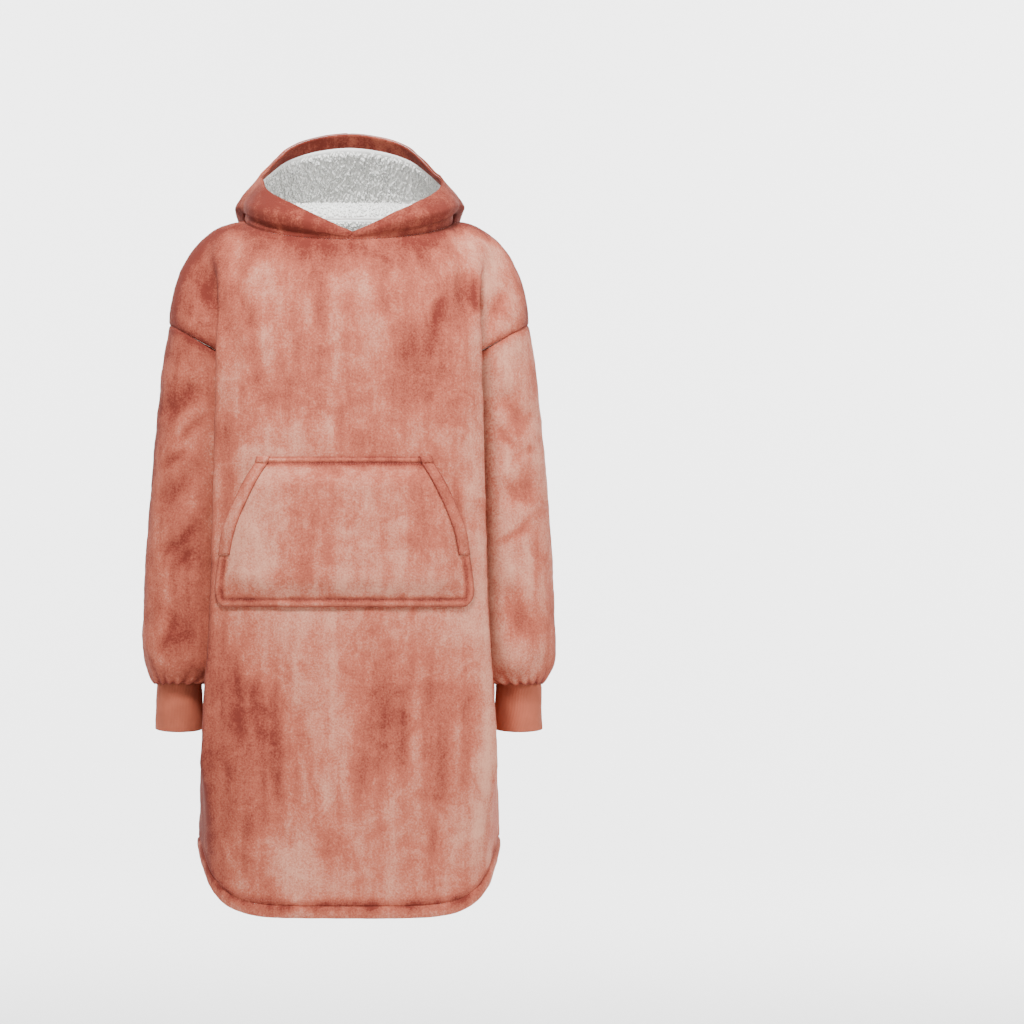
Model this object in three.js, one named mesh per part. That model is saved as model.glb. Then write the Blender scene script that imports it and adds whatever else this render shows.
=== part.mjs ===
import * as THREE from "three";

// A hooded blanket top of pile fleece, filled out as worn with nobody in it. Sizes are in millimetres.
// The origin is midway between the shoulders, level with where the hood meets them. The front faces -Y.

// Thickness of each cloth, and the gap at every seam
const BODY_WALL = 4;
const HOOD_WALL = 2.5;
const LINING_WALL = 3;
const FACING_WALL = 2;
const RIB_WALL = 3;
const POCKET_WALL = 3;
const BAND_WALL = 1.6;
const SEAM = 0.3;
const UNDERARM_SEAM = 0.8;

// Heights of the body
const UNDERARM_Z = -205;
const HEM_Z = -912;
const HEM_LEVEL_Z = -680;
const HEM_BINDING = 16;
const HEM_RISE = 80;
const HEM_RISE_POWER = 5.4;

// Body sections, a row for each height. The side seam is pinched in by a share of the half width,
// where the body folds in front of and behind the hanging sleeve.
const BODY_ROWS = [
  { z: -205, front_half: 174, back_half: 190, front_depth: 146, back_depth: 140, pinch: 0.485 },
  { z: -300, front_half: 177, back_half: 192, front_depth: 150, back_depth: 140, pinch: 0.45 },
  { z: -400, front_half: 179, back_half: 193, front_depth: 154, back_depth: 142, pinch: 0.43 },
  { z: -500, front_half: 182, back_half: 194, front_depth: 158, back_depth: 146, pinch: 0.42 },
  { z: -560, front_half: 185, back_half: 195, front_depth: 160, back_depth: 148, pinch: 0.42 },
  { z: -600, front_half: 188, back_half: 196, front_depth: 161, back_depth: 149, pinch: 0.38 },
  { z: -640, front_half: 191, back_half: 197, front_depth: 161, back_depth: 151, pinch: 0.31 },
  { z: -700, front_half: 194, back_half: 198, front_depth: 163, back_depth: 153, pinch: 0.21 },
  { z: -760, front_half: 197, back_half: 199, front_depth: 164, back_depth: 154, pinch: 0.13 },
  { z: -850, front_half: 200, back_half: 201, front_depth: 166, back_depth: 158, pinch: 0.05 },
  { z: -930, front_half: 203, back_half: 203, front_depth: 168, back_depth: 160, pinch: 0.02 },
];
const SECTION_POWER = 0.8;
const PINCH_SPREAD = 32;
const PINCH_POWER = 4;
const PANEL_BLEND_FROM = 60;
const PANEL_BLEND_TO = 120;
const EVEN_SPREAD = 0.35;

// Neckline, an oval ring that dips at the front and rises a little at the back
const NECK_HALF = 139;
const NECK_FRONT = 118;
const NECK_BACK = 80;
const NECK_DIP = 30;
const NECK_RISE = 8;
const NECK_POWER = 1.2;
const NECK_SHARE = 0.44;

// Shoulder seam, a quarter of an oval from the neck to the top of the sleeve
const SHOULDER_OUT = 100;
const SHOULDER_DROP = 138;
const CHEST_LEAN_FRONT = 50;
const CHEST_LEAN_BACK = 55;
const ARMHOLE_HALF_DEPTH = 65;

// Sleeve rings, a row for each distance down the sleeve from the armhole seam: the height of the ring's
// middle, the outer side, the width and depth, the middle's place along Y and the slant across the ring
const SLEEVE_ROWS = [
  { along: 0, z: -171.5, outer: 239, width: 118, depth: 130, y: 0, slant: 67 },
  { along: 27, z: -198, outer: 244.5, width: 117, depth: 128.5, y: 0, slant: 58 },
  { along: 54, z: -225, outer: 249, width: 116, depth: 127, y: 0, slant: 50 },
  { along: 106, z: -277, outer: 255, width: 115, depth: 124, y: -2, slant: 34 },
  { along: 159, z: -330, outer: 261, width: 114, depth: 123, y: -4, slant: 20 },
  { along: 224, z: -395, outer: 266, width: 114, depth: 122, y: -6, slant: 10 },
  { along: 291, z: -462, outer: 271, width: 115, depth: 120, y: -8, slant: 4 },
  { along: 349, z: -520, outer: 273, width: 117, depth: 120, y: -9, slant: 0 },
  { along: 394, z: -565, outer: 275, width: 118, depth: 120, y: -10, slant: 0 },
  { along: 420, z: -590, outer: 272, width: 111, depth: 113, y: -10, slant: 0 },
  { along: 440, z: -606, outer: 265, width: 90, depth: 93, y: -10, slant: 0 },
  { along: 455, z: -614, outer: 258, width: 68, depth: 70, y: -10, slant: 0 },
  { along: 464, z: -611, outer: 255.5, width: 61, depth: 61, y: -10, slant: 0 },
];
const SLEEVE_STATIONS = [0, 20, 44, 70, 100, 132, 165, 200, 236, 272, 308, 342, 372, 398, 420, 438, 452, 464];

// Soft gathers where the wide sleeve is drawn in to the cuff
const GATHERS = 5;
const GATHER_DEPTH = 3;
const GATHER_FROM = 372;
const GATHER_TURN = 0.35;

// Cuff: a plain rib tube, a little wider and lower at its mouth's front and back
const CUFF_LENGTH = 62;
const CUFF_FLARE = 1.5;
const CUFF_DIP = 4;
const CUFF_ROWS = 3;

// Hood, lying back. At every turn around the neckline, from the front (0) to the back (180), the cloth
// passes four places above its neck seam, given out and up from the seam: where it turns over, where it
// hangs lowest, where it swells and where its edge is. The lean moves a place to the wearer's left.
const HOOD_TURN = [
  { alpha: 0, out: 0, up: 2 },
  { alpha: 30, out: -1, up: 6 },
  { alpha: 60, out: -1, up: 8 },
  { alpha: 90, out: -1, up: 10 },
  { alpha: 105, out: 0, up: 12 },
  { alpha: 120, out: 3, up: 15 },
  { alpha: 135, out: 6, up: 17 },
  { alpha: 150, out: 10, up: 18 },
  { alpha: 180, out: 13, up: 19 },
];
const HOOD_LOW = [
  { alpha: 0, out: 0.5, up: 4 },
  { alpha: 30, out: 6, up: 12 },
  { alpha: 60, out: 5, up: 14 },
  { alpha: 90, out: 2, up: 14 },
  { alpha: 105, out: 9, up: 9 },
  { alpha: 120, out: 20, up: -8 },
  { alpha: 135, out: 44, up: -38 },
  { alpha: 150, out: 57, up: -70 },
  { alpha: 165, out: 66, up: -93 },
  { alpha: 180, out: 70, up: -105 },
];
const HOOD_SWELL = [
  { alpha: 0, out: 1, up: 7 },
  { alpha: 30, out: 9, up: 24 },
  { alpha: 60, out: 8, up: 28 },
  { alpha: 90, out: 4, up: 25 },
  { alpha: 105, out: 19, up: 20 },
  { alpha: 120, out: 36, up: 13 },
  { alpha: 135, out: 62, up: 7 },
  { alpha: 150, out: 84, up: 4 },
  { alpha: 180, out: 108, up: 2 },
];
const HOOD_EDGE = [
  { alpha: 0, out: 1, up: 10 },
  { alpha: 30, out: -3, up: 38 },
  { alpha: 60, out: -12, up: 50 },
  { alpha: 90, out: -18, up: 57 },
  { alpha: 105, out: -14, up: 61 },
  { alpha: 120, out: -6, up: 66 },
  { alpha: 135, out: 5, up: 81 },
  { alpha: 150, out: 19, up: 101 },
  { alpha: 165, out: 29, up: 114 },
  { alpha: 180, out: 32, up: 119 },
];
const HOOD_PLACES = [
  { rows: HOOD_TURN, lean: 1 },
  { rows: HOOD_LOW, lean: 2.5 },
  { rows: HOOD_SWELL, lean: 5 },
  { rows: HOOD_EDGE, lean: 5 },
];

// Distance along the cloth, from the neck seam, where the lining starts
const HOOD_LINED = [
  { alpha: 0, from: 3 },
  { alpha: 30, from: 7 },
  { alpha: 60, from: 9 },
  { alpha: 90, from: 14 },
  { alpha: 105, from: 30 },
  { alpha: 120, from: 54 },
  { alpha: 135, from: 104 },
  { alpha: 150, from: 144 },
  { alpha: 180, from: 198 },
];
const HOOD_LEAN_FROM = 80;
const HOOD_LEAN_TO = 120;
const HOOD_GROOVE = 3;
const HOOD_GROOVE_SPREAD = 7;
const FACING_WIDTH = 20;
const FACING_LEAST_SHARE = 0.3;
const UNLINED_SHARES = [0, 0.11, 0.3, 0.55, 0.72, 0.86];
const LINED_STEPS = 6;
const FACING_STEPS = 2;

// Kangaroo pocket, a row for each height of its outline
const POCKET_ROWS = [
  { z: -509, half: 156 },
  { z: -504, half: 162 },
  { z: -498, half: 165.5 },
  { z: -485, half: 167 },
  { z: -443, half: 161.5 },
  { z: -415, half: 155 },
  { z: -384, half: 144 },
  { z: -357, half: 132 },
  { z: -338, half: 123 },
  { z: -323, half: 115 },
  { z: -314, half: 112 },
];
const POCKET_MIDDLE_X = -6;
const POCKET_STATIONS = [
  -509, -504.5, -500, -494, -478, -460, -443, -421, -400, -378, -357, -341, -329, -323, -318.5, -314,
];
const POCKET_MOUTH_Z = -443;
const POCKET_BULGE = 13;
const POCKET_MOUTH_LIFT = 8;
const POCKET_REST = 0.9;
const POCKET_SLOPE = 42;
const POCKET_RIM = [0, 8, 16];
const POCKET_SEARCH_STEPS = 30;
const POCKET_FIELD_STEPS = 10;
const STITCH_INSET = 9;
const RIM_PUFF = 1.4;
const RIM_GROOVE = 0.9;
const RIM_GROOVE_SPREAD = 2;

// Hem binding: the rolled strip swells between its seam and its lower edge
const BINDING_SHARES = [0, 0.3, 0.7, 1];
const BINDING_SWELL = 1.5;
const BINDING_PROBE = 2;

// Largest folds, drawn on the front and back elevations. A fold runs from one place to another, with
// its width and its depth in millimetres; a negative depth is a trough.
const FOLDS = [
  { on: "body", face: "front", x0: -196, z0: -62, x1: -172, z1: -150, width: 15, depth: -5 },
  { on: "body", face: "front", x0: -168, z0: -96, x1: -150, z1: -215, width: 16, depth: -6 },
  { on: "body", face: "front", x0: 150, z0: -66, x1: 158, z1: -130, width: 14, depth: -6 },
  { on: "body", face: "front", x0: 205, z0: -84, x1: 178, z1: -160, width: 13, depth: -5 },
  { on: "body", face: "front", x0: 146, z0: -120, x1: 150, z1: -300, width: 18, depth: 5 },
  { on: "body", face: "front", x0: -70, z0: -90, x1: -96, z1: -270, width: 26, depth: -3 },
  { on: "body", face: "front", x0: 66, z0: -110, x1: 92, z1: -260, width: 24, depth: -3 },
  { on: "body", face: "front", x0: -104, z0: -545, x1: -92, z1: -840, width: 27, depth: -4 },
  { on: "body", face: "front", x0: 22, z0: -540, x1: 38, z1: -760, width: 30, depth: -4 },
  { on: "body", face: "front", x0: 112, z0: -560, x1: 124, z1: -860, width: 24, depth: -3.5 },
  { on: "body", face: "back", x0: -60, z0: -250, x1: -84, z1: -640, width: 30, depth: -4.5 },
  { on: "body", face: "back", x0: 24, z0: -200, x1: 8, z1: -520, width: 26, depth: -4 },
  { on: "body", face: "back", x0: 96, z0: -300, x1: 110, z1: -780, width: 28, depth: -5 },
  { on: "body", face: "back", x0: -30, z0: -640, x1: -18, z1: -850, width: 26, depth: -3.5 },
  { on: "body", face: "back", x0: -186, z0: -84, x1: -150, z1: -220, width: 17, depth: -6 },
  { on: "body", face: "back", x0: 184, z0: -90, x1: 152, z1: -215, width: 17, depth: -5 },
  { on: "sleeve", face: "front", x0: -196, z0: -215, x1: -246, z1: -262, width: 15, depth: -5 },
  { on: "sleeve", face: "front", x0: -200, z0: -330, x1: -252, z1: -382, width: 17, depth: -4.5 },
  { on: "sleeve", face: "front", x0: -204, z0: -455, x1: -250, z1: -430, width: 18, depth: -4 },
  { on: "sleeve", face: "front", x0: -236, z0: -500, x1: -212, z1: -570, width: 17, depth: -4.5 },
  { on: "sleeve", face: "front", x0: 196, z0: -222, x1: 240, z1: -282, width: 16, depth: -5 },
  { on: "sleeve", face: "front", x0: 202, z0: -372, x1: 250, z1: -346, width: 17, depth: -4 },
  { on: "sleeve", face: "front", x0: 206, z0: -470, x1: 226, z1: -560, width: 18, depth: -5 },
  { on: "sleeve", face: "back", x0: -198, z0: -230, x1: -244, z1: -290, width: 17, depth: -5 },
  { on: "sleeve", face: "back", x0: -206, z0: -440, x1: -250, z1: -470, width: 18, depth: -5 },
  { on: "sleeve", face: "back", x0: 200, z0: -240, x1: 246, z1: -300, width: 17, depth: -5 },
  { on: "sleeve", face: "back", x0: 208, z0: -400, x1: 250, z1: -440, width: 18, depth: -4.5 },
];
const FOLD_FADE = 2.5;
const FOLD_END_SHARE = 0.25;
const FOLD_FACING = 2;

// How finely the cloth is divided
const NECK_STEPS = 8;
const SHOULDER_SHARES = [0.5, 0.5833, 0.6667, 0.75, 0.8333, 0.9167, 1];
const BODY_HEIGHTS = [-896, -850, -795, -740, -690, -645, -600, -555, -509, -443, -378, -314, -260, -205];
const YOKE_STEPS = 10;

// Small helpers
const DEG = Math.PI / 180;
const vector = (x, y, z) => new THREE.Vector3(x, y, z);
const mix = (a, b, share) => a + (b - a) * share;
const clamp = (value, low, high) => Math.min(high, Math.max(low, value));

function smooth(share) {
  const t = clamp(share, 0, 1);
  return t * t * (3 - 2 * t);
}

// Every column of a table at one value of its key, eased through the rows around it
function rowAt(table, key, value) {
  const direction = Math.sign(table[1][key] - table[0][key]);
  let i = 0;
  while (i < table.length - 2 && (value - table[i + 1][key]) * direction > 0) {
    i += 1;
  }
  const span = table[i + 1][key] - table[i][key];
  const t = clamp((value - table[i][key]) / span, 0, 1);
  const slope = (name, k) => {
    const before = table[Math.max(0, k - 1)];
    const after = table[Math.min(table.length - 1, k + 1)];
    return (after[name] - before[name]) / (after[key] - before[key]);
  };
  const row = {};
  for (const name of Object.keys(table[i])) {
    const from = table[i][name];
    const to = table[i + 1][name];
    const start = slope(name, i) * span;
    const end = slope(name, i + 1) * span;
    const cube = 2 * from - 2 * to + start + end;
    const square = 3 * to - 3 * from - 2 * start - end;
    row[name] = ((cube * t + square) * t + start) * t + from;
  }
  return row;
}

// Body cloth

// Share of the full half width that the widest place of a pinched section reaches
function widestShare(pinch) {
  let widest = 0;
  for (let phi = 0; phi <= 90; phi += 1) {
    widest = Math.max(widest, sectionShare(phi, pinch));
  }
  return widest;
}

function sectionShare(phi, pinch) {
  const valley = Math.exp(-(((phi - 90) / PINCH_SPREAD) ** PINCH_POWER));
  return Math.sin(phi * DEG) ** SECTION_POWER * (1 - pinch * valley);
}

// A place on the body's section at one height; phi runs from the front middle (0) over the side seam
// (90) to the back middle (180), on the wearer's left
function sectionPoint(phi, z) {
  const row = rowAt(BODY_ROWS, "z", z);
  const toBack = smooth((phi - PANEL_BLEND_FROM) / (PANEL_BLEND_TO - PANEL_BLEND_FROM));
  const half = mix(row.front_half, row.back_half, toBack) / widestShare(row.pinch);
  const depth = phi < 90 ? -row.front_depth : row.back_depth;
  const x = half * sectionShare(Math.min(phi, 180), row.pinch);
  return vector(x, depth * Math.abs(Math.cos(phi * DEG)) ** SECTION_POWER, z);
}

// Height that the curved hem gains on the way from the middle of a panel to its side seam
function hemRise(phi) {
  return HEM_RISE * Math.sin(phi * DEG) ** HEM_RISE_POWER;
}

// Upright height of the hem binding, which keeps its width square to the curved hem
function bindingHeight(phi) {
  const before = Math.max(0, phi - BINDING_PROBE);
  const after = Math.min(180, phi + BINDING_PROBE);
  const run = sectionPoint(before, HEM_Z).distanceTo(sectionPoint(after, HEM_Z));
  const slope = (hemRise(after) - hemRise(before)) / run;
  return HEM_BINDING * Math.sqrt(1 + slope * slope);
}

// The angle phi of a place s across a panel, from its middle (0) to its side (1 or -1)
function panelAngle(panel, s) {
  const across = Math.abs(s);
  const phi = 90 * (across - (EVEN_SPREAD * Math.sin(2 * Math.PI * across)) / (2 * Math.PI));
  return panel === "front" ? phi : 180 - phi;
}

// The neckline at an angle around it, from the front middle (0) to the back middle (180) and round
function necklinePoint(alpha) {
  const cos = Math.cos(alpha * DEG);
  const x = NECK_HALF * Math.sin(alpha * DEG);
  if (cos > 0) {
    return vector(x, -NECK_FRONT * cos, -NECK_DIP * cos ** NECK_POWER);
  }
  return vector(x, -NECK_BACK * cos, NECK_RISE * Math.abs(cos) ** NECK_POWER);
}

// The upper edge of a panel: the neckline, then the shoulder seam
function panelTop(panel, s) {
  const across = Math.abs(s);
  if (across <= NECK_SHARE) {
    const turn = (90 * across) / NECK_SHARE;
    return necklinePoint(panel === "front" ? turn : 180 - turn);
  }
  const beta = (Math.PI / 2) * ((across - NECK_SHARE) / (1 - NECK_SHARE));
  return vector(NECK_HALF + SHOULDER_OUT * Math.sin(beta), 0, -SHOULDER_DROP * (1 - Math.cos(beta)));
}

// A place on a panel below the arms: the hem's curve fades out upwards, and the rows above are level
function lowerPoint(panel, s, height) {
  const phi = panelAngle(panel, s);
  const fade = clamp((HEM_LEVEL_Z - height) / (HEM_LEVEL_Z - HEM_Z - HEM_BINDING), 0, 1);
  const lift = hemRise(phi) + bindingHeight(phi) - HEM_BINDING;
  const point = sectionPoint(phi, height + lift * fade);
  point.x *= Math.sign(s);
  return point;
}

// A place on the yoke, from the level of the underarm (t = 0) to the panel's upper edge (t = 1)
function yokePoint(panel, s, t) {
  const from = sectionPoint(panelAngle(panel, s), UNDERARM_Z);
  const to = panelTop(panel, s);
  const across = Math.abs(s);
  const lean = panel === "front" ? CHEST_LEAN_FRONT : CHEST_LEAN_BACK;
  const psi = mix(lean, 90, Math.min(1, across / NECK_SHARE)) * DEG;
  const sideways = smooth((across - NECK_SHARE) / (1 - NECK_SHARE));
  const round = (1 - Math.cos(Math.PI * t)) / 2;
  const inward = mix((1 - Math.cos(psi * t)) / (1 - Math.cos(psi)), round, sideways);
  const upward = mix(Math.sin(psi * t) / Math.sin(psi), round, sideways);
  const forward = panel === "front" ? -1 : 1;
  const swell = forward * ARMHOLE_HALF_DEPTH * sideways * Math.sin(Math.PI * t);
  const x = Math.sign(s) * mix(from.x, to.x, round);
  return vector(x, mix(from.y, to.y, inward) + swell, mix(from.z, to.z, upward));
}

// Places across a panel, closer together at the middle and beside the seams
function acrossStations() {
  const half = [];
  for (let k = 0; k <= NECK_STEPS; k += 1) {
    half.push((NECK_SHARE * k) / NECK_STEPS);
  }
  half.push(...SHOULDER_SHARES);
  const other = half.slice(1).reverse().map((s) => -s);
  return [...other, ...half];
}

function panelPiece(name, panel) {
  const stations = acrossStations();
  const across = panel === "front" ? stations : stations.map((s) => -s);
  const points = BODY_HEIGHTS.map((height) => across.map((s) => lowerPoint(panel, s, height)));
  for (let k = 1; k <= YOKE_STEPS; k += 1) {
    points.push(across.map((s) => yokePoint(panel, s, k / YOKE_STEPS)));
  }
  const seams = ["start", "end", "left", "right"];
  return { name, points, wall: BODY_WALL, seams, folds: "body", part: "body", mirrored: true };
}

function bindingPiece(name, panel) {
  const stations = acrossStations();
  const across = panel === "front" ? stations : stations.map((s) => -s);
  const points = BINDING_SHARES.map((share) => across.map((s) => {
    const phi = panelAngle(panel, s);
    const point = sectionPoint(phi, HEM_Z + hemRise(phi) + bindingHeight(phi) * share);
    point.x *= Math.sign(s);
    return point;
  }));
  const swells = BINDING_SHARES.map((share) => BINDING_SWELL * Math.sin(Math.PI * share));
  const seams = ["end", "left", "right"];
  return { name, points, wall: BODY_WALL, seams, swells, part: "hem", mirrored: true };
}

// Sleeves and cuffs

// A place on a sleeve's ring; turn runs once round from the side that lies against the body
function sleevePoint(side, turn, along) {
  const row = rowAt(SLEEVE_ROWS, "along", along);
  const angle = turn * 2 * Math.PI;
  const gathered = smooth((along - GATHER_FROM) / (SLEEVE_STATIONS.at(-1) - GATHER_FROM));
  const wave = Math.sin(GATHERS * angle + GATHER_TURN * side) * Math.sin(Math.PI * gathered);
  const drawn = 1 - (GATHER_DEPTH * (1 + wave) * Math.sin(Math.PI * gathered)) / row.width;
  const x = row.outer - (row.width / 2) * (1 + drawn * Math.cos(angle));
  const y = row.y + side * (row.depth / 2) * drawn * Math.sin(angle);
  return vector(side * x, y, row.z - (row.slant / 2) * Math.cos(angle));
}

function ringTurns() {
  return Array.from({ length: 2 * YOKE_STEPS }, (_, k) => k / (2 * YOKE_STEPS));
}

function sleevePiece(name, side) {
  const points = SLEEVE_STATIONS.map((along) => ringTurns().map((turn) => sleevePoint(side, turn, along)));
  return { name, points, wall: BODY_WALL, ring: true, seams: ["start", "end"], folds: "sleeve", part: name };
}

function cuffPiece(name, side) {
  const points = [];
  for (let k = 0; k <= CUFF_ROWS; k += 1) {
    const share = k / CUFF_ROWS;
    points.push(ringTurns().map((turn) => {
      const top = sleevePoint(side, turn, SLEEVE_STATIONS.at(-1));
      const row = SLEEVE_ROWS.at(-1);
      const middle = vector(side * (row.outer - row.width / 2), row.y, row.z);
      const out = top.clone().sub(middle).setZ(0).normalize();
      const dip = CUFF_DIP * Math.abs(out.y) * share;
      return top.addScaledVector(out, CUFF_FLARE * share).add(vector(0, 0, -CUFF_LENGTH * share - dip));
    }));
  }
  return { name, points, wall: RIB_WALL, ring: true, seams: ["start"], part: name };
}

// Hood

// The cut through the hood at one angle, as places out and up from the neckline along the cloth
function hoodCut(alpha) {
  const turn = alpha <= 180 ? alpha : 360 - alpha;
  const places = [{ at: 0, out: 0, up: 0, lean: 0 }];
  for (const { rows, lean } of HOOD_PLACES) {
    const { out, up } = rowAt(roundTheBack(rows), "alpha", turn);
    const last = places.at(-1);
    places.push({ at: last.at + Math.hypot(out - last.out, up - last.up), out, up, lean });
  }
  const lined = rowAt(roundTheBack(HOOD_LINED), "alpha", turn).from;
  return { places, lined, length: places.at(-1).at };
}

// A hood table carried on past the back middle, so that the cloth runs smoothly round it
function roundTheBack(rows) {
  const last = rows.at(-2);
  return [...rows, { ...last, alpha: 360 - last.alpha }];
}

function hoodPoint(alpha, distance) {
  const cut = hoodCut(alpha);
  const place = rowAt(cut.places, "at", distance);
  const fromBack = Math.abs(alpha - 180);
  const middle = Math.exp(-((fromBack / HOOD_GROOVE_SPREAD) ** 2));
  const groove = HOOD_GROOVE * middle * smooth(distance / cut.lined);
  const lean = place.lean * smooth((fromBack - (180 - HOOD_LEAN_TO)) / (HOOD_LEAN_TO - HOOD_LEAN_FROM));
  const out = vector(Math.sin(alpha * DEG), -Math.cos(alpha * DEG), 0);
  const point = necklinePoint(alpha).addScaledVector(out, place.out - groove);
  return point.add(vector(lean, 0, place.up));
}

// Distances along the cloth of the hood's rows at one angle
function hoodDistances(alpha) {
  const cut = hoodCut(alpha);
  const faced = cut.length - Math.min(FACING_WIDTH, FACING_LEAST_SHARE * cut.length);
  const distances = UNLINED_SHARES.map((share) => cut.lined * share);
  for (let k = 0; k < LINED_STEPS; k += 1) {
    distances.push(mix(cut.lined, faced, k / LINED_STEPS));
  }
  for (let k = 0; k <= FACING_STEPS; k += 1) {
    distances.push(mix(faced, cut.length, k / FACING_STEPS));
  }
  return distances;
}

function hoodPiece(name, fromAlpha) {
  const alphas = Array.from({ length: 2 * NECK_STEPS + 1 }, (_, k) => fromAlpha + (90 * k) / NECK_STEPS);
  const columns = alphas.map((alpha) => hoodDistances(alpha).map((d) => hoodPoint(alpha, d)));
  const points = columns[0].map((_, j) => columns.map((column) => column[j]));
  return { name, points, wall: HOOD_WALL, seams: ["start", "left", "right"], part: "hood" };
}

// A layer inside the hood, made from the hood's own places moved in through its wall. It stops a step
// short of the point of the neck opening on each side.
function hoodLayer(name, left, right, rows, wall, seams) {
  const points = [];
  for (let j = rows[0]; j <= rows[1]; j += 1) {
    const inside = (half, i) => (
      half.points[j][i].clone().addScaledVector(half.normals[j][i], -(HOOD_WALL + SEAM))
    );
    const columns = left.points[j].map((_, i) => i);
    const line = columns.slice(1).map((i) => inside(left, i));
    points.push([...line, ...columns.slice(1, -1).map((i) => inside(right, i))]);
  }
  return { name, points, wall, seams, part: "layer" };
}

// Pocket

// The place on the front panel with a given x and height, and the way it faces
function frontPlace(x, z) {
  const side = x < 0 ? -1 : 1;
  let low = 0;
  let high = 90;
  const row = rowAt(BODY_ROWS, "z", z);
  for (let phi = 1; phi <= 90; phi += 1) {
    if (sectionShare(phi, row.pinch) < sectionShare(phi - 1, row.pinch)) {
      high = phi - 1;
      break;
    }
  }
  for (let step = 0; step < POCKET_SEARCH_STEPS; step += 1) {
    const middle = (low + high) / 2;
    if (sectionPoint(middle, z).x < Math.abs(x)) {
      low = middle;
    } else {
      high = middle;
    }
  }
  const point = sectionPoint(low, z);
  const along = sectionPoint(low + 1, z).sub(sectionPoint(Math.max(0, low - 1), z));
  const normal = vector(side * -along.y, -along.x, 0).normalize();
  normal.x = side * Math.abs(normal.x);
  return { point: vector(side * point.x, point.y, z), normal };
}

// How far the pocket stands off the panel: it rests at its sewn edges and gapes at its slanted mouths
function pocketLift(z, fromEdge) {
  const upright = smooth(Math.min(z - POCKET_STATIONS[0], POCKET_STATIONS.at(-1) - z) / POCKET_SLOPE);
  const open = smooth((z - POCKET_MOUTH_Z) / POCKET_SLOPE) * upright;
  const inner = smooth(fromEdge / POCKET_SLOPE);
  return POCKET_REST + upright * POCKET_BULGE * inner + open * POCKET_MOUTH_LIFT * (1 - inner);
}

// The stitched rim along the pocket's top and bottom: a puffed edge and a groove at the stitches
function pocketRim(z) {
  const fromEdge = Math.min(z - POCKET_STATIONS[0], POCKET_STATIONS.at(-1) - z);
  const puff = RIM_PUFF * Math.sin(Math.PI * clamp(fromEdge / STITCH_INSET, 0, 1));
  const groove = RIM_GROOVE * Math.exp(-(((fromEdge - STITCH_INSET) / RIM_GROOVE_SPREAD) ** 2));
  return puff - groove;
}

// Distances across the pocket from its middle, with narrow steps along its sides
function pocketAcross(half) {
  const inner = half - POCKET_RIM.at(-1);
  const shares = Array.from({ length: POCKET_FIELD_STEPS + 1 }, (_, k) => k / POCKET_FIELD_STEPS);
  const field = shares.map((share) => mix(-inner, inner, share));
  const rim = POCKET_RIM.slice(0, -1).map((inset) => half - inset);
  return [...rim.map((x) => -x), ...field, ...rim.slice().reverse()];
}

function pocketPiece(name) {
  const layer = (thickness) => POCKET_STATIONS.map((z) => {
    const half = rowAt(POCKET_ROWS, "z", z).half;
    return pocketAcross(half).map((x) => {
      const { point, normal } = frontPlace(POCKET_MIDDLE_X + x, z);
      return point.addScaledVector(normal, pocketLift(z, half - Math.abs(x)) + thickness(z));
    });
  });
  const inner = layer(() => 0);
  const points = layer((z) => POCKET_WALL + pocketRim(z));
  return { name, points, inner, part: "pocket" };
}

// The stitched band along a slanted mouth, made from the pocket's own places moved out
function bandPiece(name, pocket, side) {
  const first = POCKET_STATIONS.indexOf(POCKET_MOUTH_Z);
  const last = pocket.points[0].length - 1;
  const columns = side > 0 ? [last - 2, last - 1, last] : [0, 1, 2];
  const rows = pocket.points.slice(first);
  const normals = pocket.normals.slice(first);
  const layer = (distance) => rows.map((line, j) => columns.map((i) => (
    line[i].clone().addScaledVector(normals[j][i], distance)
  )));
  return { name, points: layer(SEAM + BAND_WALL), inner: layer(SEAM) };
}

// Cloth as closed solids

const keyOf = (p) => [p.x, p.y, p.z].map((value) => Math.round(value * 1000)).join();

function addAt(sums, place, normal) {
  const key = keyOf(place);
  sums.set(key, (sums.get(key) ?? vector(0, 0, 0)).add(normal));
}

// The way one piece faces at each of its places
function pieceNormals(piece) {
  const sums = new Map();
  const columns = piece.points[0].length;
  const count = piece.ring ? columns : columns - 1;
  for (let j = 0; j < piece.points.length - 1; j += 1) {
    for (let i = 0; i < count; i += 1) {
      const next = (i + 1) % columns;
      const [low, high] = [piece.points[j], piece.points[j + 1]];
      const corners = [low[i], low[next], high[next], high[i]];
      const normal = corners[2].clone().sub(corners[0]).cross(corners[3].clone().sub(corners[1])).normalize();
      corners.forEach((corner) => addAt(sums, corner, normal));
    }
  }
  return sums;
}

// The way the cloth faces at each place, shared evenly by the parts that meet there
function faceNormals(pieces) {
  const parts = new Map(pieces.map((piece) => [piece.part, new Map()]));
  const places = new Map(pieces.flatMap((piece) => piece.points.flat()).map((p) => [keyOf(p), p]));
  for (const piece of pieces) {
    const part = parts.get(piece.part);
    pieceNormals(piece).forEach((normal, key) => addAt(part, places.get(key), normal.normalize()));
  }
  const sums = new Map();
  for (const part of parts.values()) {
    part.forEach((normal, key) => addAt(sums, places.get(key), normal.normalize()));
  }
  for (const piece of pieces) {
    piece.normals = piece.points.map((line) => line.map((p) => (
      isUnderarm(p) ? vector(0, 0, -1) : sums.get(keyOf(p)).clone().normalize()
    )));
  }
}

// Front, back and sleeve meet in a point under the arm, where the cloth's outside faces down
function isUnderarm(place) {
  return vector(Math.abs(place.x), place.y, place.z).distanceTo(sleevePoint(1, 0, 0)) < SEAM;
}

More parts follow.
